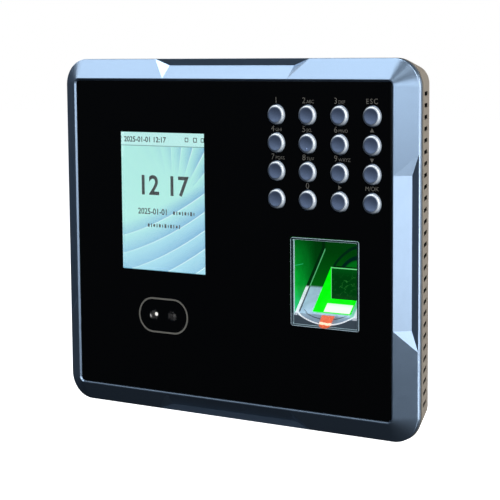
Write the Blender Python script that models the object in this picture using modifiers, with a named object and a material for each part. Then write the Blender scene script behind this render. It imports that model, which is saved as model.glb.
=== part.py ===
"""Wall-mounted fingerprint terminal: bezel, key pad, display, finger sensor, boards, case and wall plate.

Metres, +Z up. The origin is the centre of the wall plate's back face, which lies on the wall (y = 0),
and the front faces -Y. Depths are counted back from the crest, the frontmost edge of the bezel.
"""

import math

import bmesh
import bpy
from mathutils import Matrix, Vector

# ---- driving dimensions --------------------------------------------------------------------------

TOTAL_DEPTH = 0.0322          # crest of the bezel to the wall
GAP = 0.0003                  # clearance between pieces that touch

LIP_SIZE = (0.1734, 0.1473)   # outer edge of the bezel, width and height
LIP_RADIUS = 0.011
LIP_FRONT = 0.00503           # depth where the slope ends and the lip's side wall begins
LIP_BACK = 0.0077
CREST_SIZE = (0.1570, 0.1315)
CREST_RADIUS = 0.0025
CREST_FLAT = 0.00015
BOSS_ROOT = 0.0005            # how far a boss or peg starts inside the wall that it stands on

PANEL_SIZE = (0.1544, 0.1295)
PANEL_RADIUS = 0.0015
PANEL_FRONT = 0.0006
PANEL_BACK = 0.0021
PLATE_FRONT = PANEL_BACK + GAP
PLATE_BACK = 0.0042
CAVITY_SIZE = (0.1594, 0.1339)

DIP_HALF_WIDE = 0.0307        # half length of the recessed stretch on the long sides, at the crest
DIP_HALF_TALL = 0.02955       # the same on the short sides
DIP_OUT = 0.0051              # from the crest outwards to the foot of the recess wall
DIP_DEPTH = 0.00517
DIP_FACET = 0.00835           # how much longer the recess is at the lip, at each end
DIP_START = 0.00005           # from the crest outwards to the top of the recess wall
LIP_OUT = 0.0082              # from the crest outwards to the lip

KEY_COLUMNS = 4
KEY_ROWS = 4
KEY_FIRST = (0.02514, 0.05170)
KEY_PITCH = (0.01455, 0.01103)
KEY_RADIUS = 0.003775
KEY_HOLE_RADIUS = 0.0042
KEY_FLANGE_RADIUS = 0.0047
KEY_FLANGE_FRONT = 0.0045
KEY_FLANGE_BACK = 0.0053
KEY_NAMES = (
    ("key_1", "key_2", "key_3", "key_esc"),
    ("key_4", "key_5", "key_6", "key_up"),
    ("key_7", "key_8", "key_9", "key_down"),
    ("key_blank", "key_0", "key_right", "key_menu_ok"),
)
DOME_RADIUS = 0.0035
DOME_FRONT = KEY_FLANGE_BACK + GAP
MAT_FRONT = 0.0074
MAT_BACK = 0.0082
PAD_SIZE = (0.0580, 0.0435)
PAD_CENTRE = (0.04697, 0.03515)
PAD_BOARD = (MAT_BACK + GAP, 0.0101)
PAD_BOSS_RADIUS = 0.0022
PEG_RADIUS = 0.0011
PEG_HOLE_RADIUS = 0.0014
PEG_SIDES = 10

LCD_CENTRE = (-0.03175, 0.01155)
LCD_SIZE = (0.0500, 0.0692)
LCD_GLASS = (PANEL_BACK + GAP, 0.0044)
LCD_FRAME = (0.0047, 0.0064)
RIBBON_THICKNESS = 0.0004

CAMERA_CENTRE = (-0.03225, -0.0329)
CAMERA_WINDOW = (0.0242, 0.0132)
LENS_OFFSET = 0.00475
LENS_RADIUS = 0.0029
LENS_SPAN = (0.0027, 0.0092)

WINDOW_CENTRE = (0.04725, -0.01373)
WINDOW_SIZE = (0.0320, 0.0357)
WINDOW_RADIUS = 0.0018
GUIDE_FRONT = 0.0007
APRON_DEPTH = 0.0011
RECESS_X = (0.0327, 0.0619)
RECESS_TOP = 0.0030
RECESS_BACK = 0.0218
RAIL_LEFT = 0.03435
RAIL_RIGHT = 0.0596
RAIL_HEIGHT = 0.00065
RAMP_FOOT = (-0.0270, 0.0012)  # height and depth of a point on the sloped floor
RAMP_SLOPE = 0.841             # depth gained per metre of height
PRISM_X = (0.04015, 0.05750)
PRISM_FOOT = (-0.0254, 0.0032)
PRISM_TOP = (-0.0091, 0.0169)
PRISM_HEEL = (-0.0241, 0.0180)
LEAD_IN_CENTRE = (0.0469, -0.0064)
LEAD_IN_RADIUS = 0.0269        # at the crest's depth
LEAD_IN_FOOT_RADIUS = 0.0172
LEAD_IN_DEPTH = 0.0032
TAB_X = (0.0449, 0.0513)

COVER_FRONT = LIP_BACK + GAP
COVER_BACK = 0.0317
COVER_BACK_SIZE = (0.1526, 0.1410)
COVER_BACK_RADIUS = 0.0070
COVER_EDGE = 0.0010
COVER_WALL = 0.0020
VENT_COUNT = 28
VENT_TOP = 0.0600
VENT_PITCH = 0.00444
VENT_HEIGHT = 0.0016
VENT_DEPTHS = (0.0123, 0.0234)

PLATE_X = (-0.055, 0.055)
PLATE_Z = (-0.066, 0.050)
STEEL = 0.0015
DOCK_FLOOR = 0.0304           # floor of the shallow recess in the cover that takes the wall plate
POST_END = 0.0300             # depth inside the cover's rear wall where its posts end
BEHIND = 0.0340               # depth safely behind the wall, where cutters from the rear start
OUTLET_X = (-0.050, 0.014)
OUTLET_Z = (-0.044, -0.004)

BOARD_X = (-0.072, 0.026)
BOARD_Z = (-0.055, 0.055)
BOARD_FRONT = 0.0200
BOARD_BACK = 0.0216
CASE_POST = (0.068, 0.061)
SCREW_SEAT = 0.0287           # depth of the seat under a case screw's head
USB_CENTRE = -0.030
USB_WIDTH = 0.0140
USB_DEPTHS = (0.0127, 0.0197)
SHEET = 0.0007                # wall of the pressed connector shells
TAMPER = (0.017, 0.012)
SPRING_RADIUS = 0.0022
SPRING_TURNS = 3
SPRING_DEPTHS = (0.0239, 0.0267)
HOOK_CENTRES = (-0.035, 0.035)
HOOK_WIDTH = 0.010
HOOK_Z = (0.0400, 0.0415)
HOOK_REACH = 0.0262           # depth of the hooks' front edge
LATCH_X = (-0.010, 0.010)
LATCH_Z = (-0.0660, -0.0645)
LATCH_REACH = 0.0230
LOCK_DEPTH = 0.0262
LOCK_WALL = -0.0716           # height of the cover's outer face under the locking screw's head
ROUND = 16                    # sides of a small round piece

# ---- scene, collections and materials ------------------------------------------------------------

for old in list(bpy.data.objects):
    bpy.data.objects.remove(old, do_unlink=True)

parts = bpy.data.collections.new("fingerprint_terminal")
cutters = bpy.data.collections.new("cutters")
bpy.context.scene.collection.children.link(parts)
bpy.context.scene.collection.children.link(cutters)

METAL_BLUE = ((0.42, 0.52, 0.64, 1), 0.32, 0.85)
GLOSS_BLACK = ((0.005, 0.005, 0.006, 1), 0.04, 0.0)
TAUPE = ((0.30, 0.26, 0.21, 1), 0.55, 0.0)
KEY_BLUE = ((0.10, 0.16, 0.24, 1), 0.30, 0.6)
RUBBER_GREY = ((0.20, 0.20, 0.21, 1), 0.75, 0.0)
BOARD_GREEN = ((0.02, 0.13, 0.05, 1), 0.45, 0.0)
CHIP_BLACK = ((0.02, 0.02, 0.022, 1), 0.50, 0.0)
STEEL_GREY = ((0.55, 0.56, 0.57, 1), 0.30, 1.0)
WHITE_PLASTIC = ((0.75, 0.76, 0.76, 1), 0.45, 0.0)
MATT_BLACK = ((0.02, 0.02, 0.02, 1), 0.60, 0.0)
CLEAR_GLASS = ((0.20, 0.90, 0.35, 1), 0.02, 0.0)
SCREEN = ((0.45, 0.80, 0.78, 1), 0.10, 0.0)
ORANGE_FILM = ((0.90, 0.30, 0.10, 1), 0.25, 0.0)
RIBBON = ((0.55, 0.32, 0.10, 1), 0.35, 0.0)
GREEN_PLASTIC = ((0.04, 0.30, 0.12, 1), 0.40, 0.0)


def own_material(name, finish):
    """Principled material of one sub-part, from its colour, roughness and metallic value."""
    colour, roughness, metallic = finish
    material = bpy.data.materials.new(name)
    material.use_nodes = True
    shader = material.node_tree.nodes["Principled BSDF"]
    shader.inputs["Base Color"].default_value = colour
    shader.inputs["Roughness"].default_value = roughness
    shader.inputs["Metallic"].default_value = metallic
    material.diffuse_color = colour
    return material


# ---- shapes --------------------------------------------------------------------------------------

def wall_y(depth):
    """World y of a depth behind the crest."""
    return depth - TOTAL_DEPTH


def spread(centre, size):
    """Range of the given size about a centre."""
    return (centre - size / 2, centre + size / 2)


def add_block(bm, x, depths, z, radius=0.0, along=1, segments=4):
    """Box between ranges of x, depth and z; the edges along one axis are rounded."""
    y = (wall_y(depths[0]), wall_y(depths[1]))
    size = (x[1] - x[0], y[1] - y[0], z[1] - z[0])
    centre = ((x[0] + x[1]) / 2, (y[0] + y[1]) / 2, (z[0] + z[1]) / 2)
    matrix = Matrix.Translation(centre) @ Matrix.Diagonal((*size, 1))
    corners = bmesh.ops.create_cube(bm, size=1.0, matrix=matrix)["verts"]
    if radius:
        edges = {edge for corner in corners for edge in corner.link_edges}
        straight = [e for e in edges if abs((e.verts[0].co - e.verts[1].co)[along]) > 1e-6]
        bmesh.ops.bevel(bm, geom=straight, offset=radius, segments=segments, profile=0.5, affect="EDGES")


def add_round(bm, centre, radius, span, along="Y", sides=ROUND, end_radius=None):
    """Cylinder or cone. The centre is (x, z) along Y, (depth, z) along X and (x, depth) along Z."""
    length = span[1] - span[0]
    middle = (span[0] + span[1]) / 2
    if along == "Y":
        place = Matrix.Translation((centre[0], wall_y(middle), centre[1]))
        place @= Matrix.Rotation(-math.pi / 2, 4, "X")
    elif along == "X":
        place = Matrix.Translation((middle, wall_y(centre[0]), centre[1]))
        place @= Matrix.Rotation(math.pi / 2, 4, "Y")
    else:
        place = Matrix.Translation((centre[0], wall_y(centre[1]), middle))
    last = radius if end_radius is None else end_radius
    bmesh.ops.create_cone(bm, cap_ends=True, segments=sides, radius1=radius, radius2=last,
                          depth=length, matrix=place)


def rounded_outline(width, height, radius, depth, segments=6):
    """Corner points of a rounded rectangle at one depth, anticlockwise seen from the front."""
    points = []
    for corner in range(4):
        start = corner * math.pi / 2
        sign_x = 1 if corner in (0, 3) else -1
        sign_z = 1 if corner in (0, 1) else -1
        for step in range(segments + 1):
            angle = start + step / segments * math.pi / 2
            x = sign_x * (width / 2 - radius) + radius * math.cos(angle)
            z = sign_z * (height / 2 - radius) + radius * math.sin(angle)
            points.append((x, wall_y(depth), z))
    return points


def add_loft(bm, rings):
    """Closed skin through rings of equal length, front ring first."""
    loops = [[bm.verts.new(point) for point in ring] for ring in rings]
    count = len(loops[0])
    for near, far in zip(loops, loops[1:]):
        for i in range(count):
            j = (i + 1) % count
            bm.faces.new((near[i], far[i], far[j], near[j]))
    bm.faces.new(loops[0])
    bm.faces.new(list(reversed(loops[-1])))


def add_profile(bm, points, x):
    """Flat outline of (z, depth) points, pushed out along x."""
    left = [bm.verts.new((x[0], wall_y(depth), z)) for z, depth in points]
    face = bm.faces.new(left)
    pushed = bmesh.ops.extrude_face_region(bm, geom=[face])["geom"]
    moved = [item for item in pushed if isinstance(item, bmesh.types.BMVert)]
    bmesh.ops.translate(bm, verts=moved, vec=(x[1] - x[0], 0, 0))


def finish_mesh(name, bm, smooth=False):
    """Object made from a bmesh, with its faces pointing out."""
    bmesh.ops.recalc_face_normals(bm, faces=bm.faces)
    mesh = bpy.data.meshes.new(name)
    bm.to_mesh(mesh)
    bm.free()
    if smooth:
        mesh.shade_smooth()
        mesh.set_sharp_from_angle(angle=math.radians(35))
    return bpy.data.objects.new(name, mesh)


def part(name, finish, build, smooth=False):
    """Named sub-part whose geometry is added by build(bm)."""
    bm = bmesh.new()
    build(bm)
    thing = finish_mesh(name, bm, smooth)
    thing.data.materials.append(own_material(name, finish))
    parts.objects.link(thing)
    return thing


def tool(name, build):
    """Hidden solid that cuts or joins another."""
    bm = bmesh.new()
    build(bm)
    thing = finish_mesh(name, bm)
    thing.hide_render = True
    thing.display_type = "WIRE"
    cutters.objects.link(thing)
    return thing


def combine(target, build, operation, name):
    """Boolean of a target with a hidden solid."""
    modifier = target.modifiers.new(name, "BOOLEAN")
    modifier.operation = operation
    modifier.solver = "EXACT"
    modifier.object = tool(f"{target.name}_{name}", build)
    return modifier.object


def cut(target, name, build):
    return combine(target, build, "DIFFERENCE", name)


def join(target, name, build):
    return combine(target, build, "UNION", name)


def block_part(name, finish, x, depths, z, radius=0.0, along=1):
    return part(name, finish, lambda bm: add_block(bm, x, depths, z, radius, along))


# ---- places that several pieces share ------------------------------------------------------------

key_centres = {
    KEY_NAMES[row][column]: (KEY_FIRST[0] + column * KEY_PITCH[0], KEY_FIRST[1] - row * KEY_PITCH[1])
    for row in range(KEY_ROWS)
    for column in range(KEY_COLUMNS)
}
pad_bosses = [
    (KEY_FIRST[0] + (column + 0.5) * KEY_PITCH[0], KEY_FIRST[1] - (row + 0.5) * KEY_PITCH[1])
    for column in (0, 2)
    for row in (0, 2)
]
case_posts = [(sx * CASE_POST[0], sz * CASE_POST[1]) for sx in (-1, 1) for sz in (-1, 1)]
board_screws = [(BOARD_X[0] + 0.004, 0.051), (BOARD_X[1] - 0.004, -0.051)]
board_pegs = [(BOARD_X[1] - 0.004, 0.051), (BOARD_X[0] + 0.004, -0.051)]
flange_pegs = [
    (WINDOW_CENTRE[0] + side * 0.01745, WINDOW_CENTRE[1] + end * 0.0195)
    for side in (-1, 1)
    for end in (-1, 1)
]
hooks = [spread(centre, HOOK_WIDTH) for centre in HOOK_CENTRES]
lens_centres = {
    "camera_lens_left": (CAMERA_CENTRE[0] - LENS_OFFSET, CAMERA_CENTRE[1]),
    "camera_lens_right": (CAMERA_CENTRE[0] + LENS_OFFSET, CAMERA_CENTRE[1]),
}
vent_heights = [VENT_TOP - index * VENT_PITCH for index in range(VENT_COUNT)]


def ramp_depth(z):
    """Depth of the sloped floor of the finger recess at height z."""
    return RAMP_FOOT[1] + RAMP_SLOPE * (z - RAMP_FOOT[0])


def ramp_height(depth):
    """Height at which the sloped floor reaches a depth."""
    return RAMP_FOOT[0] + (depth - RAMP_FOOT[1]) / RAMP_SLOPE


def rounds(centres, radius, depths, sides=ROUND):
    """Builder of equal cylinders along the depth."""
    def build(bm):
        for centre in centres:
            add_round(bm, centre, radius, depths, sides=sides)
    return build


def blocks(boxes):
    """Builder of several separate boxes, each (x, depths, z)."""
    def build(bm):
        for x, depths, z in boxes:
            add_block(bm, x, depths, z)
    return build


# ---- front bezel ---------------------------------------------------------------------------------

def add_side_dip(bm, half_length, crest_half, turn):
    """Wedge that recesses the middle of one side; its ends slope as triangular facets."""
    back_off = 0.2
    reach = 1.5
    wall = (DIP_OUT + DIP_START, DIP_DEPTH)
    crest = (-DIP_START - back_off * wall[0], -back_off * wall[1])
    lip = (wall[0] + reach * (LIP_OUT - wall[0]), wall[1] + reach * (LIP_FRONT - DIP_START - wall[1]))
    along = (half_length, half_length, half_length + reach * DIP_FACET)
    rings = []
    for side in (-1, 1):
        ring = []
        for (out, depth), run in zip((crest, wall, lip), along):
            point = Matrix.Rotation(turn, 4, "Y") @ Vector((side * run, 0, crest_half + out))
            ring.append(bm.verts.new((point.x, wall_y(depth), point.z)))
        rings.append(ring)
    left, right = rings
    bm.faces.new(left)
    bm.faces.new(right)
    for i in range(3):
        j = (i + 1) % 3
        bm.faces.new((left[i], left[j], right[j], right[i]))


def side_dips(bm):
    for turn in (0, math.pi):
        add_side_dip(bm, DIP_HALF_WIDE, CREST_SIZE[1] / 2, turn)
    for turn in (math.pi / 2, -math.pi / 2):
        add_side_dip(bm, DIP_HALF_TALL, CREST_SIZE[0] / 2, turn)


def window_tool(bm, grow=0.0, depths=(-0.001, 0.010)):
    """Rounded outline of the finger window."""
    add_block(bm, spread(WINDOW_CENTRE[0], WINDOW_SIZE[0] + grow), depths,
              spread(WINDOW_CENTRE[1], WINDOW_SIZE[1] + grow), WINDOW_RADIUS)


def make_front_bezel():
    bezel = part("front_bezel", METAL_BLUE, lambda bm: add_loft(bm, [
        rounded_outline(*CREST_SIZE, CREST_RADIUS, 0.0),
        rounded_outline(*LIP_SIZE, LIP_RADIUS, LIP_FRONT),
        rounded_outline(*LIP_SIZE, LIP_RADIUS, LIP_BACK),
    ]))
    cut(bezel, "dips", side_dips)
    pocket = (PANEL_SIZE[0] + 2 * GAP, PANEL_SIZE[1] + 2 * GAP)
    mouth = (CREST_SIZE[0] - 2 * CREST_FLAT, CREST_SIZE[1] - 2 * CREST_FLAT)
    flare = [m + (m - p) / 2 for m, p in zip(mouth, pocket)]
    cut(bezel, "panel_pocket", lambda bm: add_loft(bm, [
        rounded_outline(*flare, CREST_RADIUS, -PANEL_FRONT / 2),
        rounded_outline(*pocket, PANEL_RADIUS + GAP, PANEL_FRONT),
        rounded_outline(*pocket, PANEL_RADIUS + GAP, PLATE_FRONT),
    ]))
    cut(bezel, "rear_cavity", lambda bm: add_block(
        bm, spread(0, CAVITY_SIZE[0]), (PLATE_BACK, 0.010), spread(0, CAVITY_SIZE[1]), 0.003))
    root = PLATE_BACK - BOSS_ROOT
    join(bezel, "case_bosses", rounds(case_posts, 0.0035, (root, 0.0097)))
    join(bezel, "pad_bosses", rounds(pad_bosses, PAD_BOSS_RADIUS, (root, MAT_BACK)))
    join(bezel, "pad_pegs", rounds(pad_bosses, PEG_RADIUS, (MAT_BACK - BOSS_ROOT, 0.0110), sides=PEG_SIDES))
    join(bezel, "flange_pegs", rounds(flange_pegs, PEG_RADIUS, (root, 0.0073), sides=PEG_SIDES))
    cut(bezel, "case_threads", rounds(case_posts, 0.0017, (0.0060, 0.0110), sides=12))
    cut(bezel, "key_holes", rounds(key_centres.values(), KEY_HOLE_RADIUS, (0.0015, 0.0060)))
    cut(bezel, "window_hole", lambda bm: window_tool(bm, 0.0014))

    def display_and_camera(bm):
        add_block(bm, spread(LCD_CENTRE[0], LCD_SIZE[0] + 2 * GAP), (0.0015, 0.0050),
                  spread(LCD_CENTRE[1], LCD_SIZE[1] + 2 * GAP))
        add_block(bm, spread(CAMERA_CENTRE[0], CAMERA_WINDOW[0]), (0.0015, 0.0050),
                  spread(CAMERA_CENTRE[1], CAMERA_WINDOW[1]), CAMERA_WINDOW[1] / 2 - 0.0001, segments=8)
    cut(bezel, "display_and_camera_holes", display_and_camera)


def make_front_panel():
    panel = part("front_panel", GLOSS_BLACK, lambda bm: add_block(
        bm, spread(0, PANEL_SIZE[0]), (PANEL_FRONT, PANEL_BACK), spread(0, PANEL_SIZE[1]), PANEL_RADIUS))
    cut(panel, "key_holes", rounds(key_centres.values(), KEY_HOLE_RADIUS, (-0.001, 0.004)))
    cut(panel, "window_hole", window_tool)


# ---- key pad -------------------------------------------------------------------------------------

def make_keys():
    """Turned key caps: dished face, conical edge, stem and a flange that stops on the bezel's plate."""
    face = PANEL_FRONT + 0.0004
    profile = (
        (0.0, face - 0.0001),
        (0.00275, face),
        (0.00305, face - 0.0002),
        (KEY_RADIUS, 0.0001),
        (KEY_RADIUS, PANEL_FRONT - KEY_FLANGE_FRONT),
        (KEY_FLANGE_RADIUS, PANEL_FRONT - KEY_FLANGE_FRONT),
        (KEY_FLANGE_RADIUS, PANEL_FRONT - KEY_FLANGE_BACK),
        (0.0, PANEL_FRONT - KEY_FLANGE_BACK),
    )
    for name, (x, z) in key_centres.items():
        mesh = bpy.data.meshes.new(name)
        mesh.from_pydata([(radius, 0, height) for radius, height in profile],
                         [(i, i + 1) for i in range(len(profile) - 1)], [])
        mesh.materials.append(own_material(name, KEY_BLUE))
        key = bpy.data.objects.new(name, mesh)
        key.location = (x, wall_y(PANEL_FRONT), z)
        key.rotation_euler = (math.pi / 2, 0, 0)
        turn = key.modifiers.new("turn", "SCREW")
        turn.steps = ROUND
        turn.render_steps = ROUND
        turn.use_merge_vertices = True
        turn.merge_threshold = 0.00001
        turn.use_smooth_shade = True
        parts.objects.link(key)


def make_key_mat():
    pad_x = spread(PAD_CENTRE[0], PAD_SIZE[0])
    pad_z = spread(PAD_CENTRE[1], PAD_SIZE[1])
    mat = part("key_mat", RUBBER_GREY, lambda bm: add_block(bm, pad_x, (MAT_FRONT, MAT_BACK), pad_z, 0.002))

    def domes(bm):
        for centre in key_centres.values():
            add_round(bm, centre, 0.0022, (DOME_FRONT, MAT_FRONT + 0.0002), end_radius=DOME_RADIUS, sides=12)
    join(mat, "domes", domes)
    cut(mat, "boss_holes", rounds(pad_bosses, PAD_BOSS_RADIUS + 0.0004, (0.006, 0.010), sides=12))


def make_keypad_board():
    board = block_part("keypad_board", BOARD_GREEN, spread(PAD_CENTRE[0], PAD_SIZE[0]), PAD_BOARD,
                       spread(PAD_CENTRE[1], PAD_SIZE[1]), 0.001)
    cut(board, "peg_holes", rounds(pad_bosses, PEG_HOLE_RADIUS, (0.006, 0.012), sides=PEG_SIDES))
    block_part("keypad_ribbon", RIBBON, spread(0.0224, RIBBON_THICKNESS),
               (PAD_BOARD[1] + GAP, BOARD_FRONT - GAP), (0.0235, 0.0365))


# ---- display and camera --------------------------------------------------------------------------

def make_display():
    lcd_x = spread(LCD_CENTRE[0], LCD_SIZE[0])
    lcd_z = spread(LCD_CENTRE[1], LCD_SIZE[1])
    block_part("lcd_glass", SCREEN, lcd_x, LCD_GLASS, lcd_z)
    block_part("lcd_frame", WHITE_PLASTIC, lcd_x, LCD_FRAME, lcd_z, 0.001)
    strap_z = LCD_CENTRE[1] - 0.024
    block_part("lcd_ribbon", RIBBON, spread(LCD_CENTRE[0], 0.022), (LCD_FRAME[1] + GAP, BOARD_FRONT - GAP),
               (strap_z, strap_z + RIBBON_THICKNESS))


def make_camera():
    holder = part("camera_holder", MATT_BLACK, lambda bm: add_block(
        bm, spread(CAMERA_CENTRE[0], 0.0280), (PLATE_BACK + GAP, 0.0090),
        spread(CAMERA_CENTRE[1], 0.0150), 0.002))
    cut(holder, "lens_bores", rounds(lens_centres.values(), LENS_RADIUS + GAP, (0.003, 0.011)))
    for name, centre in lens_centres.items():
        part(name, GLOSS_BLACK, rounds([centre], LENS_RADIUS, LENS_SPAN), smooth=True)
    block_part("camera_board", BOARD_GREEN, spread(CAMERA_CENTRE[0], 0.0300), (0.0095, 0.0107),
               spread(CAMERA_CENTRE[1], 0.0190))


# ---- finger sensor -------------------------------------------------------------------------------

def ramp_profile(lower, top, back, front=-0.002):
    """Outline of the space in front of the sloped floor, which is set back by lower."""
    return [
        (top, front),
        (top, back),
        (ramp_height(back - lower), back),
        (ramp_height(front - lower), front),
    ]


def make_finger_guide():
    bottom, top = spread(WINDOW_CENTRE[1], WINDOW_SIZE[1] - 2 * GAP)
    body_x = spread(WINDOW_CENTRE[0], WINDOW_SIZE[0] - 2 * GAP)
    back = RECESS_BACK + 0.0022
    shell = 0.0034
    flange = 0.0065
    outline = [
        (bottom, GUIDE_FRONT),
        (top, GUIDE_FRONT),
        (top, back),
        (ramp_height(back - shell), back),
        (ramp_height(flange - shell), flange),
        (bottom, flange),
    ]
    guide = part("finger_guide", GREEN_PLASTIC, lambda bm: add_profile(bm, outline, body_x))
    combine(guide, lambda bm: window_tool(bm, -2 * GAP, (-0.001, 0.030)), "INTERSECT", "round_corners")
    join(guide, "flange", lambda bm: add_block(
        bm, spread(WINDOW_CENTRE[0], 0.0390), (PLATE_BACK + GAP, flange),
        spread(WINDOW_CENTRE[1], 0.0430), 0.002))
    cut(guide, "apron", lambda bm: add_block(
        bm, (RECESS_X[0] - 0.0002, RECESS_X[1] + 0.0002), (-0.001, APRON_DEPTH),
        (bottom + 0.0009, RECESS_TOP)))
    cut(guide, "recess", lambda bm: add_profile(bm, ramp_profile(0.0, RECESS_TOP, RECESS_BACK), RECESS_X))
    cut(guide, "trough", lambda bm: add_profile(
        bm, ramp_profile(RAIL_HEIGHT, RECESS_TOP - 0.0002, RECESS_BACK - 0.0001, 0.0022),
        (RAIL_LEFT, RAIL_RIGHT)))
    lead_in = cut(guide, "lead_in", lambda bm: add_round(
        bm, LEAD_IN_CENTRE, LEAD_IN_RADIUS, (0.0, LEAD_IN_DEPTH), sides=64, end_radius=LEAD_IN_FOOT_RADIUS))
    trim = lead_in.modifiers.new("trim", "BOOLEAN")
    trim.operation = "INTERSECT"
    trim.object = tool("lead_in_trim", lambda bm: add_block(
        bm, (RAIL_LEFT - 0.0001, RAIL_RIGHT + 0.0001), (-0.001, 0.006), (-0.032, 0.0)))
    cut(guide, "prism_hole", lambda bm: add_block(
        bm, (PRISM_X[0] - GAP, PRISM_X[1] + GAP), (-0.001, 0.030),
        (PRISM_FOOT[0] - GAP, PRISM_TOP[0] + GAP)))
    cut(guide, "peg_holes", rounds(flange_pegs, PEG_HOLE_RADIUS, (0.003, 0.008), sides=PEG_SIDES))


def make_sensor():
    part("fp_prism", CLEAR_GLASS, lambda bm: add_profile(bm, [PRISM_FOOT, PRISM_TOP, PRISM_HEEL], PRISM_X))

    frame_x = (PRISM_X[0] - 0.0030, PRISM_X[1] + 0.0030)
    gap = 0.0040
    bottom = -0.0345
    top = -0.0065
    front = 0.0071
    back = 0.0255
    housing = part("fp_housing", MATT_BLACK, lambda bm: add_profile(bm, [
        (bottom, front),
        (ramp_height(front - gap), front),
        (top, ramp_depth(top) + gap),
        (top, back),
        (bottom, back),
    ], frame_x))
    cut(housing, "chamber", lambda bm: add_block(
        bm, (PRISM_X[0] - 2 * GAP, PRISM_X[1] + 2 * GAP), (-0.001, 0.030),
        (bottom + 0.0020, PRISM_TOP[0] + 2 * GAP)))

    light_board = block_part("fp_light_board", BOARD_GREEN, PRISM_X, (0.0090, 0.0250), (-0.0322, -0.0312))
    led_x = [PRISM_X[0] + 0.0035 + 0.0050 * index for index in range(3)]
    join(light_board, "leds", blocks([
        (spread(x, 0.0028), (0.0110, 0.0145), (-0.0314, -0.0295))
        for x in led_x
    ]))
    centre = sum(PRISM_X) / 2
    part("fp_lens", GLOSS_BLACK, rounds([(centre, -0.0175)], 0.0045, (0.0186, 0.0250)), smooth=True)
    block_part("fp_sensor_board", BOARD_GREEN, frame_x, (back + GAP + 0.0001, 0.0272), (bottom, top))
    block_part("fp_ribbon", RIBBON, (0.0215, frame_x[0] - GAP), (0.0249, 0.0253), (-0.0260, -0.0140))


def make_film_tab():
    """Pull tab of the film that covers the prism: it runs down the lead-in and out over the apron."""
    thickness = 0.0003
    route = [(-0.0262, 0.0019), (-0.0297, 0.0007), (-0.0311, 0.0003)]
    back = [(z, depth - thickness) for z, depth in reversed(route)]
    part("film_tab", ORANGE_FILM, lambda bm: add_profile(bm, route + back, TAB_X))


# ---- boards and connectors -----------------------------------------------------------------------

def make_main_board():
    board = block_part("main_board", BOARD_GREEN, BOARD_X, (BOARD_FRONT, BOARD_BACK), BOARD_Z, 0.002)
    cut(board, "fixing_holes", rounds(board_screws + board_pegs, 0.0017, (0.018, 0.024), sides=12))
    front = BOARD_FRONT - GAP
    rear = BOARD_BACK + GAP
    block_part("processor", CHIP_BLACK, (-0.045, -0.024), (front - 0.0022, front), (0.000, 0.021), 0.0005)
    block_part("memory_chip", CHIP_BLACK, (-0.016, -0.005), (front - 0.0012, front), (0.002, 0.020))
    part("coin_cell", STEEL_GREY, rounds([(0.006, 0.040)], 0.0100, (front - 0.0032, front), 24), smooth=True)
    part("buzzer", MATT_BLACK, rounds([(-0.058, 0.040)], 0.0060, (front - 0.0085, front), 24), smooth=True)
    block_part("relay", CHIP_BLACK, (-0.068, -0.049), (front - 0.0105, front), (-0.048, -0.033), 0.0006)
    part("capacitor", CHIP_BLACK, rounds([(-0.004, -0.040)], 0.0050, (front - 0.0110, front)), smooth=True)
    terminals = block_part("terminal_block", GREEN_PLASTIC, (-0.0470, -0.0044), (rear, rear + 0.0056),
                           (-0.0165, -0.0085))
    wires = [(-0.0449 + 0.0042 * index, -0.0125) for index in range(10)]
    cut(terminals, "wire_ports", rounds(wires, 0.0014, (rear + 0.0016, rear + 0.008), sides=8))


def make_jacks():
    rear = BOARD_BACK + GAP
    network = block_part("network_jack", STEEL_GREY, (-0.0460, -0.0300), (rear - 0.0001, rear + 0.0080),
                         (-0.0385, -0.0215))
    cut(network, "socket", lambda bm: add_block(
        bm, (-0.0441, -0.0319), (rear + 0.0010, rear + 0.0072), (-0.0400, -0.0255)))
    power = block_part("power_jack", MATT_BLACK, (-0.0205, -0.0115), (rear, rear + 0.0080),
                       (-0.0385, -0.0245), 0.0006)
    cut(power, "socket", lambda bm: add_round(
        bm, (-0.0160, rear + 0.0040), 0.0031, (-0.0400, -0.0285), along="Z"))
    usb = block_part("usb_socket", STEEL_GREY, spread(USB_CENTRE, USB_WIDTH), USB_DEPTHS, (-0.0715, -0.0530))
    cut(usb, "socket", lambda bm: add_block(
        bm, spread(USB_CENTRE, USB_WIDTH - 2 * SHEET), (USB_DEPTHS[0] + SHEET, USB_DEPTHS[1] - SHEET),
        (-0.0730, -0.0590)))
    speaker = block_part("loudspeaker", MATT_BLACK, (0.0670, 0.0730), (0.0120, 0.0260),
                         (0.0120, 0.0520), 0.0060, 0)
    cut(speaker, "cone", lambda bm: add_block(
        bm, (0.0715, 0.0800), (0.0135, 0.0245), (0.0140, 0.0500), 0.0045, 0))


# ---- tamper switch -------------------------------------------------------------------------------

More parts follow.
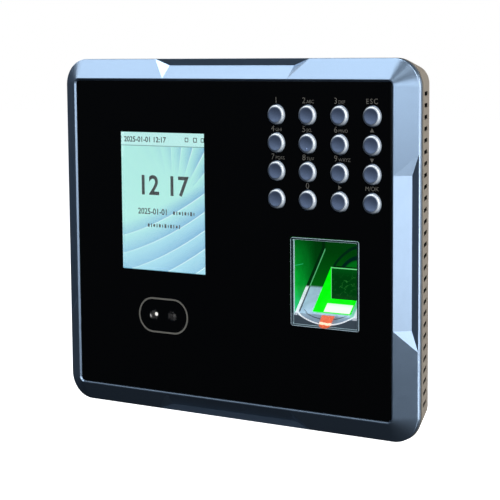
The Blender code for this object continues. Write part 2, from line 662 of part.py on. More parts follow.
def make_tamper_switch():
    block_part("tamper_switch", CHIP_BLACK, spread(TAMPER[0], 0.0060), (BOARD_BACK + GAP, 0.0235),
               spread(TAMPER[1], 0.0060))
    pin = rounds([TAMPER], 0.0017, (0.0248, DOCK_FLOOR))
    plunger = part("tamper_plunger", WHITE_PLASTIC, pin, smooth=True)
    join(plunger, "collar", rounds([TAMPER], 0.0027, (0.0271, 0.0279)))

    points_per_turn = 10
    count = SPRING_TURNS * points_per_turn + 1
    curve = bpy.data.curves.new("tamper_spring", "CURVE")
    curve.dimensions = "3D"
    curve.bevel_depth = 0.0001
    curve.bevel_resolution = 1
    curve.use_fill_caps = True
    spline = curve.splines.new("POLY")
    spline.points.add(count - 1)
    start, end = SPRING_DEPTHS
    for index, point in enumerate(spline.points):
        angle = 2 * math.pi * index / points_per_turn
        depth = start + (end - start) * index / (count - 1)
        x = TAMPER[0] + SPRING_RADIUS * math.cos(angle)
        z = TAMPER[1] + SPRING_RADIUS * math.sin(angle)
        point.co = (x, wall_y(depth), z, 1)
    curve.materials.append(own_material("tamper_spring", STEEL_GREY))
    parts.objects.link(bpy.data.objects.new("tamper_spring", curve))


# ---- back cover, wall plate and screws -----------------------------------------------------------

def cover_rings(inset, front, back, edge):
    """Rings of the tapering cover, moved inwards by inset."""
    def ring(depth, extra=0.0):
        share = (depth - COVER_FRONT) / (COVER_BACK - COVER_FRONT)
        size = [a + share * (b - a) - 2 * (inset + extra) for a, b in zip(LIP_SIZE, COVER_BACK_SIZE)]
        radius = LIP_RADIUS + share * (COVER_BACK_RADIUS - LIP_RADIUS) - inset - extra
        return rounded_outline(*size, radius, depth)
    return [ring(front), ring(back - edge), ring(back, edge)]


def make_back_cover():
    cover = part("back_cover", TAUPE, lambda bm: add_loft(
        bm, cover_rings(0.0, COVER_FRONT, COVER_BACK, COVER_EDGE)))
    cut(cover, "hollow", lambda bm: add_loft(
        bm, cover_rings(COVER_WALL, COVER_FRONT - 0.001, COVER_BACK - COVER_WALL, COVER_EDGE / 2)))
    grow = 0.0035
    join(cover, "dock_floor", lambda bm: add_block(
        bm, (PLATE_X[0] - grow, PLATE_X[1] + grow), (DOCK_FLOOR - 0.0018, POST_END),
        (PLATE_Z[0] - 0.0028, PLATE_Z[1] + grow)))
    join(cover, "case_posts", rounds(case_posts, 0.0042, (0.0100, POST_END)))
    join(cover, "board_posts", rounds(board_screws + board_pegs, 0.0032, (BOARD_BACK + GAP, POST_END)))
    join(cover, "board_pegs", rounds(board_pegs, 0.0013, (BOARD_FRONT - 0.0010, BOARD_BACK + 0.0010),
                                     sides=PEG_SIDES))
    cut(cover, "dock", lambda bm: add_block(
        bm, (PLATE_X[0] - 0.001, PLATE_X[1] + 0.001), (DOCK_FLOOR, BEHIND),
        (PLATE_Z[0] - 0.001, PLATE_Z[1] + 0.001), 0.002))
    cut(cover, "vents", blocks([
        (x, VENT_DEPTHS, spread(height, VENT_HEIGHT))
        for x in ((-0.090, -0.0765), (0.0765, 0.090))
        for height in vent_heights
    ]))
    cut(cover, "case_holes", rounds(case_posts, 0.0018, (0.008, BEHIND), sides=12))
    cut(cover, "case_counterbores", rounds(case_posts, 0.0032, (SCREW_SEAT, BEHIND)))
    cut(cover, "board_threads", rounds(board_screws, 0.0014, (0.018, 0.0275), sides=PEG_SIDES))
    through = (0.026, BEHIND)
    cut(cover, "outlet", lambda bm: add_block(bm, OUTLET_X, through, OUTLET_Z, 0.002))
    cut(cover, "plunger_hole", rounds([TAMPER], 0.0023, through))
    room = 0.001
    slots = [((x[0] - room, x[1] + room), through, (HOOK_Z[0] - room, HOOK_Z[1] + 0.0045)) for x in hooks]
    slots.append(((LATCH_X[0] - room, LATCH_X[1] + room), through, (LATCH_Z[0] - 0.0007, LATCH_Z[1] + room)))
    cut(cover, "plate_slots", blocks(slots))
    mouth = 0.0005
    cut(cover, "usb_mouth", lambda bm: add_block(
        bm, spread(USB_CENTRE, USB_WIDTH + 2 * mouth), (USB_DEPTHS[0] - mouth, USB_DEPTHS[1] + mouth),
        (-0.080, -0.0660)))
    cut(cover, "lock_hole", lambda bm: add_round(
        bm, (0.0, LOCK_DEPTH), 0.0018, (-0.080, -0.0670), along="Z", sides=12))


def make_wall_plate():
    """Pressed steel plate with two hooks at the top, a locking tab at the foot and a cable opening."""
    front = TOTAL_DEPTH - STEEL
    plate = part("wall_plate", STEEL_GREY, lambda bm: add_block(
        bm, PLATE_X, (front, TOTAL_DEPTH), PLATE_Z, 0.002))
    into = front + 0.0005

    hook_top = HOOK_Z[1] + 0.0030
    hook_back = HOOK_REACH + 0.0014
    hook_outline = [
        (HOOK_Z[0], into),
        (HOOK_Z[0], HOOK_REACH),
        (hook_top, HOOK_REACH),
        (hook_top, hook_back),
        (HOOK_Z[1], hook_back),
        (HOOK_Z[1], into),
    ]

    def hook_pair(bm):
        for x in hooks:
            add_profile(bm, hook_outline, x)
    join(plate, "hooks", hook_pair)
    join(plate, "latch", lambda bm: add_block(bm, LATCH_X, (LATCH_REACH, into), LATCH_Z))
    through = (0.029, BEHIND)
    inset = 0.002
    cut(plate, "cable_opening", lambda bm: add_block(
        bm, (OUTLET_X[0] + inset, OUTLET_X[1] - inset), through,
        (OUTLET_Z[0] + inset, OUTLET_Z[1] - inset), 0.002))

    def wall_slots(bm):
        for x in (-0.030, 0.030):
            for z in (-0.055, 0.025):
                add_block(bm, spread(x, 0.0100), through, spread(z, 0.0045), 0.0022)
    cut(plate, "wall_slots", wall_slots)
    cut(plate, "lock_thread", lambda bm: add_round(
        bm, (0.0, LOCK_DEPTH), 0.0016, (-0.070, -0.060), along="Z", sides=12))


def make_screws():
    for number, post in enumerate(case_posts, 1):
        case = part(f"case_screw_{number}", STEEL_GREY, rounds([post], 0.0028, (SCREW_SEAT + GAP, 0.0303)))
        join(case, "shank", rounds([post], 0.0013, (0.0070, SCREW_SEAT + 0.0008), sides=PEG_SIDES))
    for number, post in enumerate(board_screws, 1):
        head = (BOARD_FRONT - 0.0018, BOARD_FRONT - GAP)
        board = part(f"board_screw_{number}", STEEL_GREY, rounds([post], 0.0026, head))
        join(board, "shank", rounds([post], 0.0011, (BOARD_FRONT - 0.0010, 0.0265), sides=PEG_SIDES))

    lock = part("locking_screw", STEEL_GREY, lambda bm: add_round(
        bm, (0.0, LOCK_DEPTH), 0.0026, (LOCK_WALL - 0.0013, LOCK_WALL), along="Z"))
    join(lock, "shank", lambda bm: add_round(
        bm, (0.0, LOCK_DEPTH), 0.0012, (LOCK_WALL - 0.0005, -0.0625), along="Z", sides=PEG_SIDES))


make_front_bezel()
make_front_panel()
make_keys()
make_key_mat()
make_keypad_board()
make_display()
make_camera()
make_finger_guide()
make_sensor()
make_film_tab()
make_main_board()
make_jacks()
make_tamper_switch()
make_back_cover()
make_wall_plate()
make_screws()
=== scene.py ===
"""Looks of the fingerprint terminal: detailed shells, keys, display, sensor, materials, light and camera.

Metres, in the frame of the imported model: +X right, +Z up, the front faces -Y and the wall is at y = 0.
Depths are counted back from the crest, the frontmost edge of the bezel.
"""

import math

import bmesh
import bpy
from mathutils import Matrix, Vector


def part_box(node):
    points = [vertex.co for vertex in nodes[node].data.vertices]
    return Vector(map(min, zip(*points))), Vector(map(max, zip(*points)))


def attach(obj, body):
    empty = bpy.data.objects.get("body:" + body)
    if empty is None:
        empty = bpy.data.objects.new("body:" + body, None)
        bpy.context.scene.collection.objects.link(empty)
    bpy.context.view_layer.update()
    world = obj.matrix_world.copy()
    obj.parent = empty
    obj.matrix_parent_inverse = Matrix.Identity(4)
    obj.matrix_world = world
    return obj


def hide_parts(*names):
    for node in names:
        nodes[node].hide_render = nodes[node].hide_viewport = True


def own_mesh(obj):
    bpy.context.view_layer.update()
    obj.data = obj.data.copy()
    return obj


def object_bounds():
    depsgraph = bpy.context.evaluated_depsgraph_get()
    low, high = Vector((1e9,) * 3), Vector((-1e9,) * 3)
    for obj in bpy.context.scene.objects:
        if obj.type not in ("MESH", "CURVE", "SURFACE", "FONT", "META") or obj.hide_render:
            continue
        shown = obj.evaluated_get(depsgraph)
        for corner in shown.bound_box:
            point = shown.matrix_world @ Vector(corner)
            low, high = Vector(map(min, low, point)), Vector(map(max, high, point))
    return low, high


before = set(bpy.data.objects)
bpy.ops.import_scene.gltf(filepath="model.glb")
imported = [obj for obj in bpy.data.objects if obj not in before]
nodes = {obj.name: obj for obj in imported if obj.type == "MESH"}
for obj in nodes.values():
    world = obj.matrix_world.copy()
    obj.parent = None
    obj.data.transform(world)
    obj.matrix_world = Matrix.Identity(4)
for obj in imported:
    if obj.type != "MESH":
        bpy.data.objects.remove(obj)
cad_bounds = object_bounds()

# ---- driving dimensions, read from the frame where a node gives them -----------------------------

HOUSING = "housing"
GAP = 0.0003
HAIR = 0.00002                 # thickness of a printed layer

lip_low, lip_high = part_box("front_bezel")
panel_low, panel_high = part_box("front_panel")
cover_low, cover_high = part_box("back_cover")
CREST_Y = lip_low[1]


def ranges(node):
    """Ranges of x, depth and z of a CAD node's box."""
    low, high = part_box(node)
    return (low[0], high[0]), (low[1] - CREST_Y, high[1] - CREST_Y), (low[2], high[2])


lcd_x, lcd_depths, lcd_z = ranges("lcd_glass")
prism_x, prism_depths, prism_z = ranges("fp_prism")

LIP_SIZE = (lip_high[0] - lip_low[0], lip_high[2] - lip_low[2])
LIP_RADIUS = 0.011
LIP_FRONT = 0.00503
LIP_BACK = 0.0077
LIP_ROUND = 0.0007
LIP_STEPS = 5
LIP_BAND = 0.0014
LIP_UNDERCUT = 0.0003
CREST_SIZE = (0.1570, 0.1315)
CREST_RADIUS = 0.0025
CREST_FLAT = 0.0004
CREST_ROUND = 0.00012
PANEL_SIZE = (panel_high[0] - panel_low[0], panel_high[2] - panel_low[2])
PANEL_RADIUS = 0.0015
PANEL_FRONT = panel_low[1] - CREST_Y
PANEL_BACK = panel_high[1] - CREST_Y
PLATE_FRONT = PANEL_BACK + GAP
PLATE_BACK = 0.0042
CAVITY_SIZE = (0.1594, 0.1339)

DIP_HALF_WIDE = 0.0307
DIP_HALF_TALL = 0.02955
DIP_OUT = 0.0051
DIP_DEPTH = 0.00517
DIP_FACET = 0.00835
LIP_OUT = 0.0082

KEYS = ("key_1", "key_2", "key_3", "key_esc", "key_4", "key_5", "key_6", "key_up",
        "key_7", "key_8", "key_9", "key_down", "key_blank", "key_0", "key_right", "key_menu_ok")
KEY_LEGENDS = ("1", "2 ABC", "3 DEF", "ESC", "4 GHI", "5 JKL", "6 MNO", "up",
               "7 PQRS", "8 TUV", "9 WXYZ", "down", "", "0", "right", "M/OK")
KEY_RADIUS = 0.003775
KEY_FACE_RADIUS = 0.00305
KEY_FLANGE_RADIUS = 0.0047
KEY_CUT_SHARE = KEY_FACE_RADIUS / (2 * KEY_FLANGE_RADIUS)
KEY_HOLE_RADIUS = 0.0042
LEGEND_RISE = 0.0056

MAT_DEPTHS = (0.0074, 0.0082)
DOME_DEPTHS = (0.0056, 0.00738)
DOME_RADII = (0.0022, 0.0034)
SPRING_DEPTHS = (0.0239, 0.0267)
SPRING_RADIUS = 0.0022
SPRING_WIRE = 0.0001
SPRING_TURNS = 3

PICTURE_X = (-0.05335, -0.01015)
PICTURE_Z = (-0.01415, 0.04345)
PICTURE_SHAPE = 1.333          # height over width

THROUGH_PANEL = (-0.001, 0.004)
THROUGH_PLATE = (0.0015, 0.0050)

CAMERA_CENTRE = (-0.03225, -0.0329)
CAMERA_OUTLINE = (0.0258, 0.0148)
CAMERA_LINE = 0.0007
LENS_RADIUS = 0.0021
LENS_OUT = 0.00475             # from the middle of the camera window to each lens

WINDOW_CENTRE = (0.04725, -0.01373)
WINDOW_SIZE = (0.0320, 0.0357)
WINDOW_RADIUS = 0.0010
RECESS_X = (0.0327, 0.0619)
RECESS_TOP = 0.0030
RECESS_BACK = 0.0218
GUIDE_FRONT = 0.0007
APRON_DEPTH = 0.0011
RAIL_LEFT = 0.03435
RAIL_RIGHT = 0.0596
RAIL_HEIGHT = 0.00065
RAMP_FOOT = (-0.0270, 0.0012)
RAMP_SLOPE = 0.841

LEAD_IN_CENTRE = (0.0469, -0.0064)
LEAD_IN_RADIUS = 0.0269
LEAD_IN_FOOT_RADIUS = 0.0172
LEAD_IN_DEPTH = 0.0032
# LEAD_IN_EDGE is the radius of a painted highlight line along the lead-in's edge
LEAD_IN_EDGE = 0.02340
# LEAD_IN_GROOVE is the radius of a painted shade line for the lead-in's groove
LEAD_IN_GROOVE = 0.02150
LIT_TOP = -0.0166              # height below which the sloped floor is painted as lit by outside light; above it, painted shadow
RECESS_FOOT = -0.0262
# WALL_SEAM is the height of a painted green light line on the side wall
WALL_SEAM = -0.0075
# SWEEP_CENTRE is the centre of painted rings of green light on the floor
SWEEP_CENTRE = (0.0510, -0.0110)
MOUTH_SIZE = (RECESS_X[1] - RECESS_X[0], 0.0335)
MOUTH_CENTRE = (sum(RECESS_X) / 2, RECESS_TOP - MOUTH_SIZE[1] / 2)
WINDOW_LEAN = 0.525
DARK_FOOT = -0.0203
BAR_X = (0.0453, 0.0572)
BAR_Z = (-0.0251, -0.0220)
PRINT_CENTRE = (0.0505, -0.0150)
PRISM_TOP_DEPTH = 0.0169
PRISM_HEEL_HEIGHT = -0.0241

COVER_FRONT = cover_low[1] - CREST_Y
COVER_BACK = cover_high[1] - CREST_Y
COVER_BACK_SIZE = (0.1526, 0.1410)
COVER_BACK_RADIUS = 0.0070
COVER_EDGE = 0.0012
COVER_WALL = 0.0020
VENT_COUNT = 28
VENT_TOP = 0.0600
VENT_PITCH = 0.00444
VENT_HEIGHT = 0.0016
VENT_DEPTHS = (0.0123, 0.0234)
DOCK_FLOOR = 0.0304
THROUGH_BACK = (0.026, 0.034)
POST_OUT = (0.068, 0.061)
OUTLET_X = (-0.050, 0.014)
OUTLET_Z = (-0.044, -0.004)

# ---- shapes --------------------------------------------------------------------------------------


def deep(depth):
    """World y of a depth behind the crest."""
    return CREST_Y + depth


def spread(centre, size):
    return (centre - size / 2, centre + size / 2)


def grown(span, by):
    """Range made longer by this much at each end."""
    return (span[0] - by, span[1] + by)


def middle(node):
    """Centre of a CAD node's box."""
    low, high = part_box(node)
    return (Vector(low) + Vector(high)) / 2


def add_block(bm, x, depths, z, radius=0.0, along=1, segments=8):
    """Box between ranges of x, depth and z; the edges along one axis are rounded."""
    y = (deep(depths[0]), deep(depths[1]))
    size = (x[1] - x[0], y[1] - y[0], z[1] - z[0])
    centre = ((x[0] + x[1]) / 2, (y[0] + y[1]) / 2, (z[0] + z[1]) / 2)
    matrix = Matrix.Translation(centre) @ Matrix.Diagonal((*size, 1))
    corners = bmesh.ops.create_cube(bm, size=1.0, matrix=matrix)["verts"]
    if radius:
        edges = {edge for corner in corners for edge in corner.link_edges}
        straight = [e for e in edges if abs((e.verts[0].co - e.verts[1].co)[along]) > 1e-6]
        bmesh.ops.bevel(bm, geom=straight, offset=radius, segments=segments, profile=0.5, affect="EDGES")


def add_round(bm, centre, radius, span, along="Y", sides=48, end_radius=None):
    """Cylinder or cone. along Y: centre is (x, z), span is depths; Z: centre is (x, depth), span z."""
    length = span[1] - span[0]
    half = (span[0] + span[1]) / 2
    if along == "Y":
        place = Matrix.Translation((centre[0], deep(half), centre[1])) @ Matrix.Rotation(-math.pi / 2, 4, "X")
    else:
        place = Matrix.Translation((centre[0], deep(centre[1]), half))
    last = radius if end_radius is None else end_radius
    bmesh.ops.create_cone(bm, cap_ends=True, segments=sides, radius1=radius, radius2=last,
                          depth=length, matrix=place)


def outline(width, height, radius, depth, segments=20):
    """Points of a rounded rectangle at one depth."""
    points = []
    for corner in range(4):
        sign_x = 1 if corner in (0, 3) else -1
        sign_z = 1 if corner in (0, 1) else -1
        for step in range(segments + 1):
            angle = (corner + step / segments) * math.pi / 2
            x = sign_x * (width / 2 - radius) + radius * math.cos(angle)
            z = sign_z * (height / 2 - radius) + radius * math.sin(angle)
            points.append((x, deep(depth), z))
    return points


def add_loft(bm, rings):
    """Closed skin through rings of equal length, front ring first."""
    loops = [[bm.verts.new(point) for point in ring] for ring in rings]
    count = len(loops[0])
    for near, far in zip(loops, loops[1:]):
        for i in range(count):
            j = (i + 1) % count
            bm.faces.new((near[i], far[i], far[j], near[j]))
    bm.faces.new(loops[0])
    bm.faces.new(list(reversed(loops[-1])))


def add_profile(bm, points, x):
    """Flat outline of (z, depth) points, pushed out along x."""
    face = bm.faces.new([bm.verts.new((x[0], deep(depth), z)) for z, depth in points])
    pushed = bmesh.ops.extrude_face_region(bm, geom=[face])["geom"]
    moved = [item for item in pushed if isinstance(item, bmesh.types.BMVert)]
    bmesh.ops.translate(bm, verts=moved, vec=(x[1] - x[0], 0, 0))


def add_turned(bm, profile, centre, steps=64):
    """Shape turned about the depth; profile is (radius, depth) points, from radius 0 to radius 0."""
    rings = []
    for radius, depth in profile:
        if radius == 0.0:
            rings.append([bm.verts.new((centre[0], deep(depth), centre[1]))])
            continue
        rings.append([
            bm.verts.new((centre[0] + radius * math.cos(2 * math.pi * i / steps), deep(depth),
                          centre[1] + radius * math.sin(2 * math.pi * i / steps)))
            for i in range(steps)])
    for near, far in zip(rings, rings[1:]):
        for i in range(steps):
            j = (i + 1) % steps
            corners = [near[i % len(near)], far[i % len(far)], far[j % len(far)], near[j % len(near)]]
            bm.faces.new(list(dict.fromkeys(corners)))


def placed(name, data):
    thing = bpy.data.objects.new(name, data)
    bpy.context.scene.collection.objects.link(thing)
    return thing


def solid(name, build):
    """Object made by build(bm), with its faces pointing out."""
    bm = bmesh.new()
    build(bm)
    bmesh.ops.recalc_face_normals(bm, faces=bm.faces)
    mesh = bpy.data.meshes.new(name)
    bm.to_mesh(mesh)
    bm.free()
    return placed(name, mesh)


def bake(thing):
    """Applies a piece's modifiers."""
    graph = bpy.context.evaluated_depsgraph_get()
    mesh = bpy.data.meshes.new_from_object(thing.evaluated_get(graph))
    thing.modifiers.clear()
    thing.data = mesh


def cut(thing, tool, operation="DIFFERENCE"):
    """Cuts, joins or trims a piece with another, which is used up."""
    modifier = thing.modifiers.new("carve", "BOOLEAN")
    modifier.operation = operation
    modifier.solver = "EXACT"
    modifier.object = tool
    bake(thing)
    bpy.data.objects.remove(tool, do_unlink=True)


def carve(thing, build, operation="DIFFERENCE"):
    """Cuts, joins or trims a piece with the solid that build(bm) makes."""
    cut(thing, solid("tool", build), operation)


def round_edges(thing, width, segments=3, angle=28):
    """Rounds the edges that are sharper than an angle."""
    bevel = thing.modifiers.new("edges", "BEVEL")
    bevel.width = width
    bevel.segments = segments
    bevel.limit_method = "ANGLE"
    bevel.angle_limit = math.radians(angle)
    bake(thing)


def soften(thing, width, segments=3, angle=28):
    """Rounds a piece's edges and shades its flat faces flat."""
    round_edges(thing, width, segments, angle)
    smooth(thing)


def smooth(thing, angle=50):
    """Shades round stretches smooth and keeps large faces flat."""
    bake(thing)
    thing.data.shade_smooth()
    thing.data.set_sharp_from_angle(angle=math.radians(angle))
    flat = thing.modifiers.new("flat_faces", "WEIGHTED_NORMAL")
    flat.keep_sharp = True


def dress(thing, material, body=HOUSING, stands_for=()):
    """Gives a piece its material and body, and hides the CAD nodes that it stands for."""
    thing.data.materials.clear()
    thing.data.materials.append(material)
    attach(thing, body)
    if stands_for:
        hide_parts(*stands_for)
    return thing


def block(x, depths, z, radius=0.0, along=1, segments=8):
    """Builder of one block, for solid and carve."""
    return lambda bm: add_block(bm, x, depths, z, radius, along, segments)


def rounds(centres, radius, depths, sides=48):
    """Builder of several cylinders along the depth."""
    def build(bm):
        for centre in centres:
            add_round(bm, centre, radius, depths, sides=sides)
    return build


# ---- materials -----------------------------------------------------------------------------------

def srgb(red, green, blue):
    """Linear colour from 0-255 display values."""
    def linear(value):
        value /= 255
        return value / 12.92 if value <= 0.04045 else ((value + 0.055) / 1.055) ** 2.4
    return (linear(red), linear(green), linear(blue), 1.0)


class Shader:
    """A node material under construction, with short calls for the nodes it needs."""

    def __init__(self, name):
        self.material = bpy.data.materials.new(name)
        self.material.use_nodes = True
        self.tree = self.material.node_tree
        self.main = self.tree.nodes["Principled BSDF"]
        self.place = self.tree.nodes.new("ShaderNodeTexCoord").outputs["Object"]

    def set(self, **values):
        for key, value in values.items():
            self.main.inputs[key.replace("_", " ")].default_value = value
        return self

    def link(self, output, socket):
        self.tree.links.new(output, self.main.inputs[socket] if isinstance(socket, str) else socket)

    def noise(self, scale, detail=3.0, rough=0.55, stretch=None):
        node = self.tree.nodes.new("ShaderNodeTexNoise")
        node.inputs["Scale"].default_value = scale
        node.inputs["Detail"].default_value = detail
        node.inputs["Roughness"].default_value = rough
        source = self.place
        if stretch:
            source = self.stretched(stretch)
        self.tree.links.new(source, node.inputs["Vector"])
        return node.outputs["Fac"]

    def stretched(self, factors):
        node = self.tree.nodes.new("ShaderNodeMapping")
        node.inputs["Scale"].default_value = factors
        self.tree.links.new(self.place, node.inputs["Vector"])
        return node.outputs["Vector"]

    def axes(self):
        node = self.tree.nodes.new("ShaderNodeSeparateXYZ")
        self.tree.links.new(self.place, node.inputs[0])
        return node.outputs

    def math(self, operation, *values):
        node = self.tree.nodes.new("ShaderNodeMath")
        node.operation = operation
        for socket, value in zip(node.inputs, values):
            if isinstance(value, (int, float)):
                socket.default_value = value
            else:
                self.tree.links.new(value, socket)
        return node.outputs[0]

    def plus(self, first, second):
        return self.math("ADD", first, second)

    def minus(self, first, second):
        return self.math("SUBTRACT", first, second)

    def times(self, first, second):
        return self.math("MULTIPLY", first, second)

    def most(self, first, second):
        return self.math("MAXIMUM", first, second)

    def root_of_squares(self, first, second):
        return self.math("SQRT", self.plus(self.math("POWER", first, 2.0), self.math("POWER", second, 2.0)))

    def waver(self, scale, detail=3, low=0.0, high=1.0):
        """Noise spread over a range."""
        return self.fit(self.noise(scale, detail), 0.3, 0.7, low, high)

    def dimmed(self, colour, factor):
        return self.mix(1.0, colour, tone_grey(factor), "MULTIPLY")

    def fit(self, value, low, high, to_low=0.0, to_high=1.0, smooth=False):
        node = self.tree.nodes.new("ShaderNodeMapRange")
        node.interpolation_type = "SMOOTHSTEP" if smooth else "LINEAR"
        self.tree.links.new(value, node.inputs["Value"])
        for key, number in (("From Min", low), ("From Max", high), ("To Min", to_low), ("To Max", to_high)):
            node.inputs[key].default_value = number
        return node.outputs["Result"]

    def mix(self, factor, first, second, kind="MIX"):
        node = self.tree.nodes.new("ShaderNodeMix")
        node.data_type = "RGBA"
        node.blend_type = kind
        for index, value in ((0, factor), (6, first), (7, second)):
            if isinstance(value, (int, float, tuple)):
                node.inputs[index].default_value = value
            else:
                self.tree.links.new(value, node.inputs[index])
        return node.outputs[2]

    def above(self, value, limit):
        return self.math("GREATER_THAN", value, limit)

    def below(self, value, limit):
        return self.math("LESS_THAN", value, limit)

    def near(self, value, target, reach):
        """1 where a value is within reach of its target."""
        return self.below(self.math("ABSOLUTE", self.minus(value, target)), reach)

    def all(self, first, *others):
        for other in others:
            first = self.times(first, other)
        return first

    def distance(self, x, z, centre):
        """Distance from a point of the front plane."""
        return self.root_of_squares(self.minus(x, centre[0]), self.minus(z, centre[1]))

    def frame_distance(self, x, z, centre, size, radius):
        """Signed distance from the outline of a rounded rectangle, negative inside."""
        across = self.plus(self.math("ABSOLUTE", self.minus(x, centre[0])), radius - size[0] / 2)
        up = self.plus(self.math("ABSOLUTE", self.minus(z, centre[1])), radius - size[1] / 2)
        corner = self.root_of_squares(self.most(across, 0.0), self.most(up, 0.0))
        inner = self.math("MINIMUM", self.most(across, up), 0.0)
        return self.minus(self.plus(corner, inner), radius)

    def bump(self, height, strength, distance):
        node = self.tree.nodes.new("ShaderNodeBump")
        node.inputs["Strength"].default_value = strength
        node.inputs["Distance"].default_value = distance
        self.tree.links.new(height, node.inputs["Height"])
        self.link(node.outputs["Normal"], "Normal")


def shade(colour, factor):
    return (colour[0] * factor, colour[1] * factor, colour[2] * factor, 1.0)


def grained(name, colour, roughness, metallic=0.0, grain=3000, bump=0.15, vary=0.08, depth=0.00005):
    """Moulded or painted surface: slight tone changes, uneven gloss and a fine grain."""
    s = Shader(name).set(Metallic=metallic)
    fine = s.noise(grain, 2)
    tone = s.mix(s.noise(45, 4), shade(colour, 1 - vary), shade(colour, 1 + vary))
    speck = s.mix(s.fit(fine, 0.3, 0.7), tone_grey(1 - vary), tone_grey(1 + vary))
    s.link(s.mix(1.0, tone, speck, "MULTIPLY"), "Base Color")
    s.link(s.waver(220, 3, roughness * 0.9, roughness * 1.1), "Roughness")
    s.bump(fine, bump, depth)
    return s.material


def tone_grey(value):
    return (value, value, value, 1.0)


def bezel_paint():
    """Metallic lacquer: fine flakes under a clear coat."""
    s = Shader("bezel_paint").set(Metallic=0.90, Coat_Weight=0.2, Coat_Roughness=0.18)
    sparkle = s.waver(4200, 2)
    base = srgb(164, 188, 214)
    tone = s.mix(sparkle, shade(base, 0.96), shade(base, 1.04))
    s.link(s.mix(s.noise(30, 3), s.dimmed(tone, 0.95), tone), "Base Color")
    s.link(s.waver(700, 2, 0.28, 0.32), "Roughness")
    s.bump(s.noise(3400, 1), 0.012, 0.00003)
    return s.material


def panel_gloss():
    """Black acrylic: nearly flat, with a trace of orange peel and dust-fine unevenness of gloss."""
    s = Shader("panel_gloss").set(IOR=1.49)
    s.link(s.mix(s.noise(60, 3), (0.0006, 0.0006, 0.0006, 1), (0.0014, 0.0012, 0.0011, 1)), "Base Color")
    s.link(s.waver(120, 3, 0.03, 0.06), "Roughness")
    s.bump(s.noise(90, 2), 0.02, 0.0002)
    return s.material


def key_metal():
    """Satin blue-grey face, painted darker at the top as painted shade and edged by a painted shade line,
    inside a shoulder with a painted highlight, in colour and a faint glow, on its upper right; the flange and
    the side stay plain.
    """
    s = Shader("key_metal").set(Coat_Weight=0.15, Coat_Roughness=0.1, Emission_Strength=1.0)
    across = s.tree.nodes.new("ShaderNodeSeparateXYZ")
    s.tree.links.new(s.tree.nodes["Texture Coordinate"].outputs["Generated"], across.inputs[0])
    reach = s.distance(across.outputs["X"], across.outputs["Z"], (0.5, 0.5))
    shoulder = s.fit(reach, KEY_CUT_SHARE - 0.012, KEY_CUT_SHARE + 0.004, smooth=True)
    fine = s.fit(s.noise(3000, 2), 0.35, 0.65)
    base = srgb(142, 162, 202)
    face = s.mix(fine, shade(base, 0.93), shade(base, 1.06))
    # painted shade: the face is darker at the top and lighter at the bottom, as light from above falls on the
    # dish
    face = s.mix(s.fit(across.outputs["Z"], 0.72, 0.28), s.dimmed(face, 0.70),
                 s.mix(1.0, face, (1.30, 1.30, 1.24, 1), "MULTIPLY"))
    # painted shade: a thin dark line in the crease where the face meets the shoulder
    ring = s.near(reach, KEY_CUT_SHARE, 0.007)
    # painted highlight: the shoulder is bright on its upper right and dark on its lower left
    side = s.plus(s.times(across.outputs["X"], 0.8), s.times(across.outputs["Z"], 0.6))
    side = s.fit(side, 0.40, 1.0, smooth=True)
    rim = s.mix(side, (0.20, 0.25, 0.33, 1), (0.97, 1.0, 1.0, 1))
    s.link(s.mix(ring, s.mix(shoulder, face, rim), (0.05, 0.06, 0.08, 1)), "Base Color")
    # the painted highlight also glows faintly on the shoulder's upper right
    s.link(s.mix(s.all(shoulder, side), (0, 0, 0, 1), (0.20, 0.24, 0.29, 1)), "Emission Color")
    s.link(s.fit(shoulder, 0.0, 1.0, 0.55, 0.50), "Metallic")
    s.link(s.plus(s.fit(shoulder, 0.0, 1.0, 0.32, 0.36), s.waver(900, 2, -0.02, 0.02)),
           "Roughness")
    s.bump(fine, 0.02, 0.00003)
    return s.material


def clear_plastic(name, tint=(1, 1, 1, 1), roughness=0.02, ior=1.49):
    s = Shader(name).set(Transmission_Weight=1.0, IOR=ior)
    s.link(s.mix(s.noise(50), tint, shade(tint, 0.96)), "Base Color")
    s.link(s.waver(150, 3, roughness * 0.8, roughness * 1.3), "Roughness")
    return s.material


def glow(name, colour, strength, vary=0.06, scale=200, roughness=0.3):
    """Surface with a slightly uneven glow, used for the painted glints on the camera lenses."""
    s = Shader(name).set(Roughness=roughness, Emission_Strength=strength)
    s.link(s.mix(s.noise(scale), shade(colour, 1 - vary), shade(colour, 1 + vary)), "Emission Color")
    s.link(s.mix(s.noise(scale), shade(colour, 0.4), shade(colour, 0.5)), "Base Color")
    return s.material


